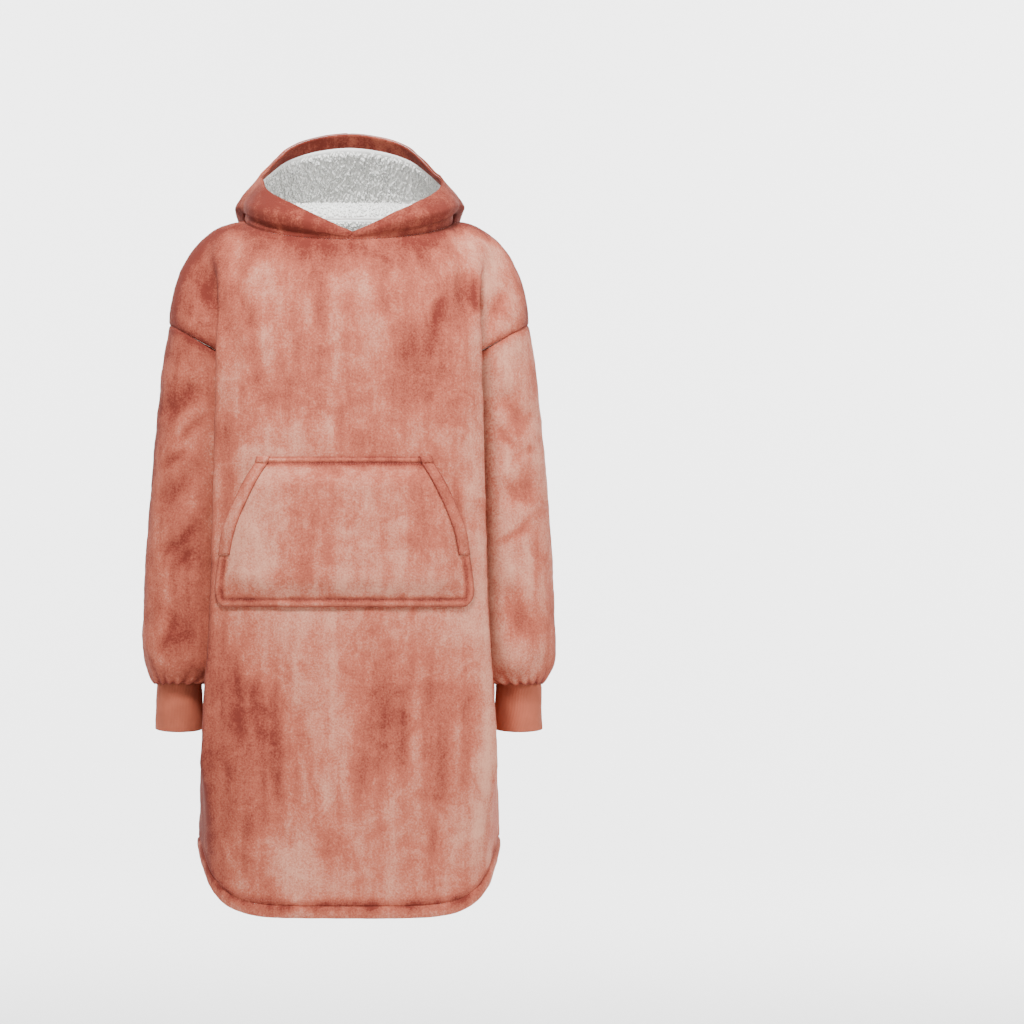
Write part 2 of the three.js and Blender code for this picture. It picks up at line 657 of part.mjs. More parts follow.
// Depth of the folds at a place that faces the front or the back
function foldDepth(group, point, normal) {
  let depth = 0;
  for (const fold of FOLDS) {
    const facing = fold.face === "front" ? -normal.y : normal.y;
    if (fold.on !== group || facing <= 0) {
      continue;
    }
    const run = new THREE.Vector2(fold.x1 - fold.x0, fold.z1 - fold.z0);
    const from = new THREE.Vector2(point.x - fold.x0, point.z - fold.z0);
    const share = from.dot(run) / run.lengthSq();
    const aside = from.cross(run) / run.length();
    const start = smooth(FOLD_FADE * share + FOLD_END_SHARE);
    const end = smooth(FOLD_FADE * (1 - share) + FOLD_END_SHARE);
    const across = Math.exp(-((aside / fold.width) ** 2));
    depth += fold.depth * start * end * across * smooth(facing * FOLD_FACING);
  }
  return depth;
}

// Folds and swells move the cloth's inner places; its seams stay
function shapeCloth(piece) {
  const lastRow = piece.points.length - 1;
  const lastColumn = piece.points[0].length - 1;
  piece.points = piece.points.map((line, j) => line.map((p, i) => {
    const onEdge = j === 0 || j === lastRow || (!piece.ring && (i === 0 || i === lastColumn));
    if (piece.swells) {
      return p.clone().addScaledVector(piece.normals[j][i], piece.swells[j]);
    }
    if (onEdge || !piece.folds) {
      return p;
    }
    return p.clone().addScaledVector(piece.normals[j][i], foldDepth(piece.folds, p, piece.normals[j][i]));
  }));
}

// Each seam edge draws back into its own piece by half the seam gap
function seamShift(piece, j, i) {
  const rows = piece.points.length;
  const columns = piece.points[0].length;
  const at = (row, column) => piece.points[clamp(row, 0, rows - 1)][
    piece.ring ? (column + columns) % columns : clamp(column, 0, columns - 1)
  ];
  const here = piece.points[j][i];
  const gap = isUnderarm(here) ? UNDERARM_SEAM : SEAM;
  const shift = vector(0, 0, 0);
  const draw = (along, inside) => {
    const inward = piece.normals[j][i].clone().cross(along).normalize();
    const sign = Math.sign(inward.dot(inside));
    shift.addScaledVector(inward, (sign * gap) / 2);
  };
  const alongRow = at(j, i + 1).clone().sub(at(j, i - 1));
  const alongColumn = at(j + 1, i).clone().sub(at(j - 1, i));
  if (piece.seams.includes("start") && j === 0) {
    draw(alongRow, at(1, i).clone().sub(here));
  }
  if (piece.seams.includes("end") && j === rows - 1) {
    draw(alongRow, at(j - 1, i).clone().sub(here));
  }
  if (piece.seams.includes("left") && i === 0) {
    draw(alongColumn, at(j, 1).clone().sub(here));
  }
  if (piece.seams.includes("right") && i === columns - 1) {
    draw(alongColumn, at(j, i - 1).clone().sub(here));
  }
  return shift;
}

// A sewn piece's outer and inner places, with its seams drawn back
function thicken(piece) {
  const { points, normals, wall } = piece;
  const outer = points.map((line, j) => line.map((p, i) => p.clone().add(seamShift(piece, j, i))));
  const inner = outer.map((line, j) => line.map((p, i) => p.clone().addScaledVector(normals[j][i], -wall)));
  return { outer, inner };
}

// A closed wall between an outer and an inner grid of places. Its two halves are divided alike where
// they mirror each other.
function wallGeometry(outer, inner, { ring = false, mirrored = false }) {
  const rows = outer.length;
  const columns = outer[0].length;
  const places = [...outer.flat(), ...inner.flat()];
  const index = [];
  const out = (j, i) => j * columns + (i % columns);
  const inn = (j, i) => rows * columns + out(j, i);
  const split = (alongBD, a, b, c, d) => index.push(...(alongBD ? [a, b, d, b, c, d] : [a, b, c, a, c, d]));
  const quad = (a, b, c, d) => {
    split(places[a].distanceTo(places[c]) > places[b].distanceTo(places[d]), a, b, c, d);
  };
  const count = ring ? columns : columns - 1;
  for (let j = 0; j < rows - 1; j += 1) {
    for (let i = 0; i < count; i += 1) {
      const leans = mirrored && i < count / 2;
      split(leans, out(j, i), out(j, i + 1), out(j + 1, i + 1), out(j + 1, i));
      split(!leans, inn(j, i + 1), inn(j, i), inn(j + 1, i), inn(j + 1, i + 1));
    }
  }
  for (let i = 0; i < count; i += 1) {
    quad(out(0, i + 1), out(0, i), inn(0, i), inn(0, i + 1));
    quad(out(rows - 1, i), out(rows - 1, i + 1), inn(rows - 1, i + 1), inn(rows - 1, i));
  }
  for (let j = 0; !ring && j < rows - 1; j += 1) {
    quad(out(j, 0), out(j + 1, 0), inn(j + 1, 0), inn(j, 0));
    quad(out(j + 1, columns - 1), out(j, columns - 1), inn(j, columns - 1), inn(j + 1, columns - 1));
  }
  const geometry = new THREE.BufferGeometry();
  const numbers = places.flatMap((p) => [p.x, p.y, p.z]);
  geometry.setAttribute("position", new THREE.Float32BufferAttribute(numbers, 3));
  geometry.setIndex(index);
  geometry.computeVertexNormals();
  return geometry;
}

// Materials
const FLEECE = new THREE.MeshStandardMaterial({ color: 0xb46a5c, roughness: 0.85, metalness: 0 });
const PLUSH = new THREE.MeshStandardMaterial({ color: 0xe4e6e0, roughness: 0.95, metalness: 0 });
const RIB = new THREE.MeshStandardMaterial({ color: 0xb96b52, roughness: 0.9, metalness: 0 });

// The garment

const hoodie = new THREE.Group();

function addPiece(piece, outer, inner, material) {
  const mesh = new THREE.Mesh(wallGeometry(outer, inner, piece), material);
  mesh.name = piece.name;
  hoodie.add(mesh);
}

function addCloth(pieces, material) {
  for (const piece of pieces) {
    const { outer, inner } = thicken(piece);
    addPiece(piece, outer, inner, piece.material ?? material);
  }
}

const hoodLeft = hoodPiece("hood_left", 0);
const hoodRight = hoodPiece("hood_right", 180);
const outerCloth = [
  panelPiece("front", "front"),
  panelPiece("back", "back"),
  bindingPiece("hem_binding_front", "front"),
  bindingPiece("hem_binding_back", "back"),
  sleevePiece("sleeve_left", 1),
  sleevePiece("sleeve_right", -1),
  { ...cuffPiece("cuff_left", 1), material: RIB },
  { ...cuffPiece("cuff_right", -1), material: RIB },
  hoodLeft,
  hoodRight,
];
faceNormals(outerCloth);
outerCloth.forEach(shapeCloth);
faceNormals(outerCloth);
addCloth(outerCloth, FLEECE);

const linedFrom = UNLINED_SHARES.length;
const facedFrom = linedFrom + LINED_STEPS;
const lining = hoodLayer("hood_lining", hoodLeft, hoodRight, [linedFrom, facedFrom], LINING_WALL, ["end"]);
const edge = [facedFrom, facedFrom + FACING_STEPS];
const facing = hoodLayer("hood_facing", hoodLeft, hoodRight, edge, FACING_WALL, ["start"]);
const hoodLayers = [{ ...lining, material: PLUSH }, facing];
faceNormals(hoodLayers);
addCloth(hoodLayers, FLEECE);

const pocket = pocketPiece("pocket");
faceNormals([pocket]);
addPiece(pocket, pocket.points, pocket.inner, FLEECE);
for (const [name, side] of [["pocket_band_left", 1], ["pocket_band_right", -1]]) {
  const band = bandPiece(name, pocket, side);
  addPiece(band, band.points, band.inner, FLEECE);
}

export default hoodie;
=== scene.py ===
import math

import bpy
import numpy as np
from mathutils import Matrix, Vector, noise


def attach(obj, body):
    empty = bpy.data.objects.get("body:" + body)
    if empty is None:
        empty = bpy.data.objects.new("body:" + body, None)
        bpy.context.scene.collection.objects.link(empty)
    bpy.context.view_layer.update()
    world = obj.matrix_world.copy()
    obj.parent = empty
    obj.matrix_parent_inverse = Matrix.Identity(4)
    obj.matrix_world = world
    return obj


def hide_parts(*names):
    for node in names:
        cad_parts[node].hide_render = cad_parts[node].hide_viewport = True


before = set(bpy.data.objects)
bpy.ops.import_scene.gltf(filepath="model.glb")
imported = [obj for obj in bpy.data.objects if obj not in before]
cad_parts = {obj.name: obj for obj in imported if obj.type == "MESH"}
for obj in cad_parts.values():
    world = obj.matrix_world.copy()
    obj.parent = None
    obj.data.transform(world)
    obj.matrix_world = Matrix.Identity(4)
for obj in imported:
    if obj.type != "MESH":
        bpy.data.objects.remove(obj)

bl_info = {
    "name": "Hooded blanket top",
    "version": (1, 0, 0),
    "blender": (4, 5, 0),
    "location": "3D View > Sidebar > Hoodie",
    "description": "Makes a filled-out hooded blanket top of pile fleece on its packed frame",
    "category": "Add Mesh",
}

# The whole garment is worked out in millimetres and made in metres. The origin is midway between the
# shoulders, the front faces -Y and the wearer's left is +X.
MM = 0.001
BODY = "root"


def table(names, rows):
    """A table with named columns."""
    return dict(zip(names.split(), np.array(rows, float).T))


# Body sections, a row for each height. The side seam is pinched in by a share of the half width, where
# the body folds in front of and behind the hanging sleeve.
BODY_ROWS = table("z front_half back_half front_depth back_depth pinch", [
    (-205, 174, 190, 146, 140, 0.485),
    (-300, 177, 192, 150, 140, 0.45),
    (-400, 179, 193, 154, 142, 0.43),
    (-500, 182, 194, 158, 146, 0.42),
    (-560, 185, 195, 160, 148, 0.42),
    (-600, 188, 196, 161, 149, 0.38),
    (-640, 191, 197, 161, 151, 0.31),
    (-700, 194, 198, 163, 153, 0.21),
    (-760, 197, 199, 164, 154, 0.13),
    (-850, 200, 201, 166, 158, 0.05),
    (-930, 203, 203, 168, 160, 0.02),
])
SECTION_POWER = 0.8
PINCH_SPREAD = 32
PINCH_POWER = 4
PANEL_BLEND_FROM = 60
PANEL_BLEND_TO = 120
EVEN_SPREAD = 0.35

# Heights of the body and its curved hem
UNDERARM_Z = -205
HEM_Z = -912
HEM_LEVEL_Z = -680
HEM_BINDING = 16
HEM_RISE = 80
HEM_RISE_POWER = 5.4
BINDING_PROBE = 2
BINDING_SWELL = 1.5

# Seams and walls
SEWN_GAP = 0.04
SEAM_ALLOWANCE = 2
SEAM_DIP_REACH = 2.2
WALL_SHARE_OF_BEND = 0.45
WALL_EASING = 12
LEAST_WALL = 0.8

# Painted shade, how much darker the fleece is drawn: in the seam grooves, in the shadow under the hood, on the sides
# turned from the lamps, on the wearer's right away from the key lamp (lighter on the wearer's left), on the hood and
# its facing; and the fold and crease depths that give full shade
SEAM_SHADE = 0.7
SEAM_SHADE_REACH = 8
SHOULDER_SHADE = 1.0
SHOULDER_SHADE_REACH = 42
SIDE_SHADE = 0.5
# Painted shade on the wearer's right and painted light on the wearer's left, from the key lamp's side
LAMP_SIDE_SHADE_AND_LIGHT = 0.25
LAMP_SIDE_FROM = 110
LAMP_SIDE_LIGHT_ON_LEFT = 1.4
HOOD_SHADE = 0.6
HOOD_SHADE_FROM = 14
HOOD_SHADE_RUN = 22
FACING_SHADE = 0.95
LEAST_SHADE = -0.4
DEEP_FOLD = 10
DEEP_CREASE = 4

# Brushed pile: weights of clouds, patches, streaks and grain, its mean tone, how much shade darkens it,
# and how far its clouds and streaks are drawn out upright
PILE_WEIGHTS = (1.05, 0.7, 0.6, 0.85)
PILE_TONE = 0.54
PILE_SHADE = 0.5
CLOUD_UPRIGHT = 0.38
STREAK_UPRIGHT = 0.14

# Neckline and shoulder
NECK_HALF = 139
NECK_FRONT = 118
NECK_BACK = 80
NECK_DIP = 30
NECK_RISE = 8
NECK_POWER = 1.2
NECK_SHARE = 0.44
SHOULDER_OUT = 100
SHOULDER_DROP = 138
CHEST_LEAN = {"front": 50, "back": 55}
ARMHOLE_HALF_DEPTH = 65

# Sleeve rings, a row for each distance down the sleeve
SLEEVE_ROWS = table("along z outer width depth y slant", [
    (0, -171.5, 239, 118, 130, 0, 67),
    (27, -198, 244.5, 117, 128.5, 0, 58),
    (54, -225, 249, 116, 127, 0, 50),
    (106, -277, 255, 115, 124, -2, 34),
    (159, -330, 261, 114, 123, -4, 20),
    (224, -395, 266, 114, 122, -6, 10),
    (291, -462, 271, 115, 120, -8, 4),
    (349, -520, 273, 117, 120, -9, 0),
    (394, -565, 275, 118, 120, -10, 0),
    (420, -590, 272, 111, 113, -10, 0),
    (440, -606, 265, 90, 93, -10, 0),
    (455, -614, 258, 68, 70, -10, 0),
    (464, -611, 255.5, 61, 61, -10, 0),
])
SLEEVE_END = 464
GATHERS = 5
GATHER_DEPTH = 3
GATHER_FROM = 372
GATHER_TURN = 0.35
FINE_GATHERS = 17
FINE_GATHER_DEPTH = 1.6
FINE_GATHER_SPREAD = 26
CUFF_LENGTH = 62
CUFF_FLARE = 1.5
CUFF_DIP = 4

# Hood: places out and up from the neckline at each turn around it, in the order that the cloth passes
HOOD_PLACES = [
    (1, table("alpha out up", [
        (0, 0, 2), (30, -1, 6), (60, -1, 8), (90, -1, 10), (105, 0, 12), (120, 3, 15), (135, 6, 17),
        (150, 10, 18), (180, 13, 19),
    ])),
    (2.5, table("alpha out up", [
        (0, 0.5, 4), (30, 6, 12), (60, 5, 14), (90, 2, 14), (105, 9, 9), (120, 20, -8), (135, 44, -38),
        (150, 57, -70), (165, 66, -93), (180, 70, -105),
    ])),
    (5, table("alpha out up", [
        (0, 1, 7), (30, 9, 24), (60, 8, 28), (90, 4, 25), (105, 19, 20), (120, 36, 13), (135, 62, 7),
        (150, 84, 4), (180, 108, 2),
    ])),
    (5, table("alpha out up", [
        (0, 1, 10), (30, -3, 38), (60, -12, 50), (90, -18, 57), (105, -14, 61), (120, -6, 66),
        (135, 5, 81), (150, 19, 101), (165, 29, 114), (180, 32, 119),
    ])),
]
HOOD_LINED = table("alpha from", [
    (0, 3), (30, 7), (60, 9), (90, 14), (105, 30), (120, 54), (135, 104), (150, 144), (180, 198),
])
HOOD_LEAN_FROM = 80
HOOD_LEAN_TO = 120
HOOD_GROOVE = 3
HOOD_GROOVE_SPREAD = 7
FACING_WIDTH = 20
FACING_LEAST_SHARE = 0.3
LINING_SHORT_OF_POINT = 2
CURLS_TO = 72
COLLAR_ROWS = 16
CURLED_ROWS = 18
SHORT_CURL_LIFT = 1

# Pocket outline, a row for each height
POCKET_ROWS = table("z half", [
    (-509, 156), (-504, 162), (-498, 165.5), (-485, 167), (-443, 161.5), (-415, 155), (-384, 144),
    (-357, 132), (-338, 123), (-323, 115), (-314, 112),
])
POCKET_MIDDLE_X = -6
POCKET_MOUTH_Z = -443
POCKET_BULGE = 13
POCKET_MOUTH_LIFT = 8
POCKET_REST = 0.9
POCKET_SLOPE = 42
BAND_WIDTH = 16
STITCH_INSET = 9
RIM_PUFF = 1.4
RIM_GROOVE = 0.9
RIM_GROOVE_SPREAD = 2

# Folds by cloth and face: from one place to another (x, z, x, z), with a width and a depth
FOLDS = {
    ("body", "front"): [
        (-196, -62, -176, -125, 13, -3), (-168, -96, -146, -205, 15, -3.5),
        (150, -66, 158, -130, 14, -6), (205, -84, 178, -160, 13, -5),
        (146, -120, 150, -300, 18, 5), (-70, -90, -96, -270, 26, -3),
        (66, -110, 92, -260, 24, -3), (-104, -545, -92, -840, 27, -4),
        (22, -540, 38, -760, 30, -4), (112, -560, 124, -860, 24, -3.5),
    ],
    ("body", "back"): [
        (-60, -250, -84, -640, 30, -4.5), (24, -200, 8, -520, 26, -4),
        (96, -300, 110, -780, 28, -5), (-30, -640, -18, -850, 26, -3.5),
        (-190, -80, -168, -130, 14, -3), (188, -84, 168, -130, 14, -3),
    ],
    ("sleeve", "front"): [
        (-196, -215, -246, -262, 15, -5), (-200, -330, -252, -382, 17, -4.5),
        (-204, -455, -250, -430, 18, -4), (-236, -500, -212, -570, 17, -4.5),
        (196, -222, 240, -282, 16, -5), (202, -372, 250, -346, 17, -4),
        (206, -470, 226, -560, 18, -5),
    ],
    ("sleeve", "back"): [
        (-198, -230, -244, -290, 17, -5), (-206, -440, -250, -470, 18, -5),
        (200, -240, 246, -300, 17, -5), (208, -400, 250, -440, 18, -4.5),
    ],
}
# Small creases that lie in the nap between the large folds
CREASES = {
    ("body", "front"): [
        (-150, -84, -122, -160, 7, -2), (-196, -84, -188, -116, 6, -1.6),
        (-128, -150, -104, -262, 8, -1.6), (166, -72, 170, -128, 6, -2.6),
        (206, -96, 188, -128, 6, -1.8), (120, -96, 104, -190, 8, -1.8),
        (140, -320, 146, -450, 8, -1.6), (-160, -250, -158, -400, 8, -1.6),
        (-30, -60, -44, -130, 8, -1.4), (34, -62, 52, -140, 8, -1.4),
        (-150, -560, -140, -700, 9, -1.8), (-60, -620, -70, -780, 9, -1.3),
        (70, -600, 66, -740, 9, -1.3), (160, -600, 150, -760, 9, -1.6),
    ],
    ("body", "back"): [
        (-150, -110, -110, -190, 7, -2), (150, -120, 116, -200, 7, -2),
        (-120, -420, -132, -620, 9, -1.6), (52, -260, 60, -420, 9, -1.5),
        (140, -500, 150, -700, 9, -1.7), (-100, -700, -90, -850, 9, -1.4),
    ],
    ("sleeve", "front"): [
        (-192, -260, -232, -300, 6, -2.2), (-210, -300, -250, -330, 6, -1.8),
        (-200, -400, -236, -440, 7, -1.8), (-226, -520, -250, -575, 6, -1.8),
        (190, -270, 226, -310, 6, -2), (210, -320, 248, -300, 6, -1.8),
        (200, -430, 240, -400, 7, -1.8), (232, -510, 248, -570, 6, -1.8),
    ],
    ("sleeve", "back"): [
        (-196, -300, -238, -350, 6, -2), (-212, -520, -244, -560, 6, -1.8),
        (196, -310, 240, -360, 6, -2), (212, -500, 246, -550, 6, -1.8),
    ],
}
FOLD_FADE = 2.5
FOLD_END_SHARE = 0.25
FOLD_FACING = 2

# How finely the cloth is divided
NECK_STEPS = 26
SHOULDER_STEPS = 26
HEIGHT_STEPS = 118
YOKE_STEPS = 46
SLEEVE_STEPS = 92
SEAM_STEP = 2.5


def length_property(name, description, default):
    return bpy.props.FloatProperty(name=name, description=description, default=default, unit="LENGTH")


def colour_property(name, description, default):
    return bpy.props.FloatVectorProperty(
        name=name, description=description, subtype="COLOR", size=3, min=0, max=1, default=default)


class HoodieSizes(bpy.types.PropertyGroup):
    """Cloth thicknesses and small sizes of the garment"""

    body_wall: length_property("Body cloth", "Thickness of the fleece of body and sleeves", 0.004)
    hood_wall: length_property("Hood cloth", "Thickness of the hood's outer cloth", 0.0025)
    lining_wall: length_property("Lining", "Thickness of the plush lining", 0.003)
    facing_wall: length_property("Facing", "Thickness of the hood's facing", 0.002)
    rib_wall: length_property("Cuff cloth", "Thickness of the knitted cuffs", 0.003)
    pocket_wall: length_property("Pocket cloth", "Thickness of the pocket", 0.003)
    band_wall: length_property("Pocket band", "Thickness of the pocket's bands", 0.0016)
    seam: length_property("Seam", "Gap between two sewn pieces", 0.0003)
    seam_dip: length_property("Seam dip", "How deep the pile sinks into a seam", 0.0014)
    pile_relief: length_property("Pile relief", "Height of the uneven pile", 0.0006)
    stitch_length: length_property("Stitch length", "Length of one stitch", 0.0032)
    thread: length_property("Thread", "Thickness of the sewing thread", 0.0006)
    curl: length_property("Plush curl", "Length of one curl of the plush lining", 0.0085)
    short_curl: length_property("Short curl", "Length of one curl around the neck", 0.0042)


class HoodieColours(bpy.types.PropertyGroup):
    """Colours of the cloths"""

    # deep is drawn both for the fleece's dark nap patches and for the painted shade; light both for its brushed
    # patches and for the painted light on the wearer's left
    deep: colour_property(
        "Pile, deep", "Fleece where its pile stands or lies in a fold", (0.15, 0.022, 0.0135))
    middle: colour_property("Pile, middle", "Fleece in general", (0.385, 0.093, 0.054))
    light: colour_property("Pile, brushed", "Fleece where its pile is brushed flat", (0.6, 0.27, 0.18))
    rib: colour_property("Cuff", "Knitted cuffs", (0.39, 0.1, 0.055))
    plush: colour_property("Plush", "Curly lining", (0.97, 0.97, 0.94))
    thread: colour_property("Thread", "Sewing thread", (0.33, 0.07, 0.05))
    floor: colour_property("Floor", "Floor and backdrop", (0.9, 0.9, 0.9))


def sizes():
    return bpy.context.scene.hoodie_sizes


def colours():
    return bpy.context.scene.hoodie_colours


def in_mm(length):
    return length / MM


# Formulas of the garment's form

def smooth(share):
    t = np.clip(share, 0, 1)
    return t * t * (3 - 2 * t)


def mix(a, b, share):
    return a + (b - a) * share


def row_at(rows, key, value):
    """Every column of a table at one or more values of its key, eased through the rows around it."""
    places = rows[key]
    value = np.asarray(value, float)
    turned = places * np.sign(places[1] - places[0])
    wanted = value * np.sign(places[1] - places[0])
    i = np.clip(np.searchsorted(turned, wanted) - 1, 0, len(places) - 2)
    span = places[i + 1] - places[i]
    t = np.clip((value - places[i]) / span, 0, 1)
    before = np.maximum(np.arange(len(places)) - 1, 0)
    after = np.minimum(np.arange(len(places)) + 1, len(places) - 1)
    found = {}
    for name, column in rows.items():
        slopes = (column[after] - column[before]) / (places[after] - places[before])
        start, end = slopes[i] * span, slopes[i + 1] * span
        a, b = column[i], column[i + 1]
        cube = 2 * a - 2 * b + start + end
        square = 3 * b - 3 * a - 2 * start - end
        found[name] = ((cube * t + square) * t + start) * t + a
    return found


def sine(degrees):
    return np.sin(np.radians(degrees))


def cosine(degrees):
    return np.cos(np.radians(degrees))


def section_share(phi, pinch):
    valley = np.exp(-(((phi - 90) / PINCH_SPREAD) ** PINCH_POWER))
    return np.abs(sine(phi)) ** SECTION_POWER * (1 - pinch * valley)


def widest_share(pinch):
    turns = np.arange(91.0)
    return section_share(turns, np.asarray(pinch)[..., None]).max(axis=-1)


def section_point(phi, z):
    """A place on the body's section; phi runs from the front middle (0) to the back middle (180)."""
    phi, z = np.broadcast_arrays(np.asarray(phi, float), np.asarray(z, float))
    row = row_at(BODY_ROWS, "z", z)
    to_back = smooth((phi - PANEL_BLEND_FROM) / (PANEL_BLEND_TO - PANEL_BLEND_FROM))
    half = mix(row["front_half"], row["back_half"], to_back) / widest_share(row["pinch"])
    depth = np.where(phi < 90, -row["front_depth"], row["back_depth"])
    x = half * section_share(np.minimum(phi, 180), row["pinch"])
    return np.stack([x, depth * np.abs(cosine(phi)) ** SECTION_POWER, z], axis=-1)


def hem_rise(phi):
    return HEM_RISE * np.abs(sine(phi)) ** HEM_RISE_POWER


def binding_height(phi):
    before = np.maximum(0, phi - BINDING_PROBE)
    after = np.minimum(180, phi + BINDING_PROBE)
    run = np.linalg.norm(section_point(before, HEM_Z) - section_point(after, HEM_Z), axis=-1)
    slope = (hem_rise(after) - hem_rise(before)) / run
    return HEM_BINDING * np.sqrt(1 + slope * slope)


def panel_angle(panel, s):
    across = np.abs(s)
    phi = 90 * (across - EVEN_SPREAD * np.sin(2 * np.pi * across) / (2 * np.pi))
    return phi if panel == "front" else 180 - phi


def neckline_point(alpha):
    alpha = np.asarray(alpha, float)
    cos = cosine(alpha)
    lift = np.abs(cos) ** NECK_POWER
    y = np.where(cos > 0, -NECK_FRONT * cos, -NECK_BACK * cos)
    z = np.where(cos > 0, -NECK_DIP * lift, NECK_RISE * lift)
    return np.stack([NECK_HALF * sine(alpha), y, z], axis=-1)


def panel_top(panel, s):
    across = np.abs(s)
    turn = 90 * np.minimum(across, NECK_SHARE) / NECK_SHARE
    neck = neckline_point(turn if panel == "front" else 180 - turn)
    beta = np.pi / 2 * np.maximum(0, (across - NECK_SHARE) / (1 - NECK_SHARE))
    x = NECK_HALF + SHOULDER_OUT * np.sin(beta)
    shoulder = np.stack([x, 0 * x, -SHOULDER_DROP * (1 - np.cos(beta))], axis=-1)
    return np.where((across <= NECK_SHARE)[..., None], neck, shoulder)


def lower_point(panel, s, height):
    phi = panel_angle(panel, s)
    fade = np.clip((HEM_LEVEL_Z - height) / (HEM_LEVEL_Z - HEM_Z - HEM_BINDING), 0, 1)
    lift = hem_rise(phi) + binding_height(phi) - HEM_BINDING
    point = section_point(phi, height + lift * fade)
    point[..., 0] *= np.sign(s)
    return point


def yoke_point(panel, s, t):
    s, t = np.broadcast_arrays(s, t)
    low = section_point(panel_angle(panel, s), UNDERARM_Z)
    top = panel_top(panel, s)
    across = np.abs(s)
    psi = np.radians(mix(CHEST_LEAN[panel], 90, np.minimum(1, across / NECK_SHARE)))
    sideways = smooth((across - NECK_SHARE) / (1 - NECK_SHARE))
    ease = (1 - np.cos(np.pi * t)) / 2
    inward = mix((1 - np.cos(psi * t)) / (1 - np.cos(psi)), ease, sideways)
    upward = mix(np.sin(psi * t) / np.sin(psi), ease, sideways)
    forward = -1 if panel == "front" else 1
    swell = forward * ARMHOLE_HALF_DEPTH * sideways * np.sin(np.pi * t)
    x = np.sign(s) * mix(low[..., 0], top[..., 0], ease)
    y = mix(low[..., 1], top[..., 1], inward) + swell
    return np.stack([x, y, mix(low[..., 2], top[..., 2], upward)], axis=-1)


def with_seam_steps(stations, first=0.0, last=0.0):
    """Stations with one more just inside each end, where the pile rises out of the seam."""
    more = list(stations)
    if first:
        more.insert(1, stations[0] + first)
    if last:
        more.insert(-1, stations[-1] - last)
    return np.array(more)


def neck_shares():
    return with_seam_steps(np.linspace(0, NECK_SHARE, NECK_STEPS + 1), first=0.006)


def across_stations():
    shoulder = with_seam_steps(np.linspace(NECK_SHARE, 1, SHOULDER_STEPS + 1), last=0.009)
    half = np.concatenate([neck_shares(), shoulder[1:]])
    return np.concatenate([-half[:0:-1], half])


def yoke_shares():
    return with_seam_steps(np.linspace(0, 1, YOKE_STEPS + 1), last=0.01)


def panel_piece(name, panel):
    across = across_stations() * (1 if panel == "front" else -1)
    heights = with_seam_steps(np.linspace(HEM_Z + HEM_BINDING, UNDERARM_Z, HEIGHT_STEPS + 1), first=SEAM_STEP)
    lower = lower_point(panel, across[None, :], heights[:, None])
    yoke = yoke_point(panel, across[None, :], yoke_shares()[1:, None])
    return {
        "name": name, "points": np.concatenate([lower, yoke]), "wall": in_mm(sizes().body_wall),
        "seams": ("start", "end", "left", "right"), "folds": "body", "part": "body",
    }


def binding_piece(name, panel):
    across = across_stations() * (1 if panel == "front" else -1)
    phi = panel_angle(panel, across)
    shares = np.array([0, 0.06, 0.15, 0.27, 0.4, 0.55, 0.7, 0.83, 0.93, 1])
    z = HEM_Z + hem_rise(phi)[None, :] + binding_height(phi)[None, :] * shares[:, None]
    points = section_point(phi[None, :], z)
    points[..., 0] *= np.sign(across)
    return {
        "name": name, "points": points, "wall": in_mm(sizes().body_wall), "seams": ("end", "left", "right"),
        "swells": BINDING_SWELL * np.sin(np.pi * shares), "part": "hem",
    }


def sleeve_point(side, turn, along):
    row = row_at(SLEEVE_ROWS, "along", along)
    angle = turn * 2 * np.pi
    gathered = smooth((along - GATHER_FROM) / (SLEEVE_END - GATHER_FROM))
    wave = np.sin(GATHERS * angle + GATHER_TURN * side) * np.sin(np.pi * gathered)
    drawn = 1 - GATHER_DEPTH * (1 + wave) * np.sin(np.pi * gathered) / row["width"]
    x = row["outer"] - row["width"] / 2 * (1 + drawn * np.cos(angle))
    y = row["y"] + side * row["depth"] / 2 * drawn * np.sin(angle)
    z = row["z"] - row["slant"] / 2 * np.cos(angle)
    return np.stack(np.broadcast_arrays(side * x, y, z), axis=-1)


def ring_turns():
    half = yoke_shares() / 2
    return np.concatenate([half, 1 - half[-2:0:-1]])


def sleeve_piece(name, side):
    along = with_seam_steps(np.linspace(0, SLEEVE_END, SLEEVE_STEPS + 1), first=SEAM_STEP, last=SEAM_STEP)
    points = sleeve_point(side, ring_turns()[None, :], along[:, None])
    return {
        "name": name, "points": points, "wall": in_mm(sizes().body_wall), "ring": True,
        "seams": ("start", "end"), "folds": "sleeve", "part": name, "along": along,
    }


def cuff_piece(name, side):
    shares = np.array([0, 0.04, 0.12, 0.25, 0.4, 0.55, 0.7, 0.82, 0.91, 0.97, 1])
    top = sleeve_point(side, ring_turns(), np.float64(SLEEVE_END))
    last = {key: column[-1] for key, column in SLEEVE_ROWS.items()}
    out = top - [side * (last["outer"] - last["width"] / 2), last["y"], last["z"]]
    out[:, 2] = 0
    out /= np.linalg.norm(out, axis=-1, keepdims=True)
    share = shares[:, None, None]
    down = np.array([0, 0, -1]) * (CUFF_LENGTH + CUFF_DIP * np.abs(out[:, 1:2])) * share
    points = top + out * CUFF_FLARE * share + down
    return {
        "name": name, "points": points, "wall": in_mm(sizes().rib_wall), "ring": True,
        "seams": ("start",), "part": name, "shares": shares,
    }


def round_the_back(rows):
    last = {key: column[-2] for key, column in rows.items()}
    last["alpha"] = 360 - last["alpha"]
    return {key: np.append(column, last[key]) for key, column in rows.items()}


def hood_cut(alpha):
    turn = alpha if alpha <= 180 else 360 - alpha
    places = [(0, 0, 0, 0)]
    for lean, rows in HOOD_PLACES:
        row = row_at(round_the_back(rows), "alpha", turn)
        last = places[-1]
        at = last[0] + math.hypot(row["out"] - last[1], row["up"] - last[2])
        places.append((at, row["out"], row["up"], lean))
    lined = float(row_at(round_the_back(HOOD_LINED), "alpha", turn)["from"])
    return table("at out up lean", places), lined


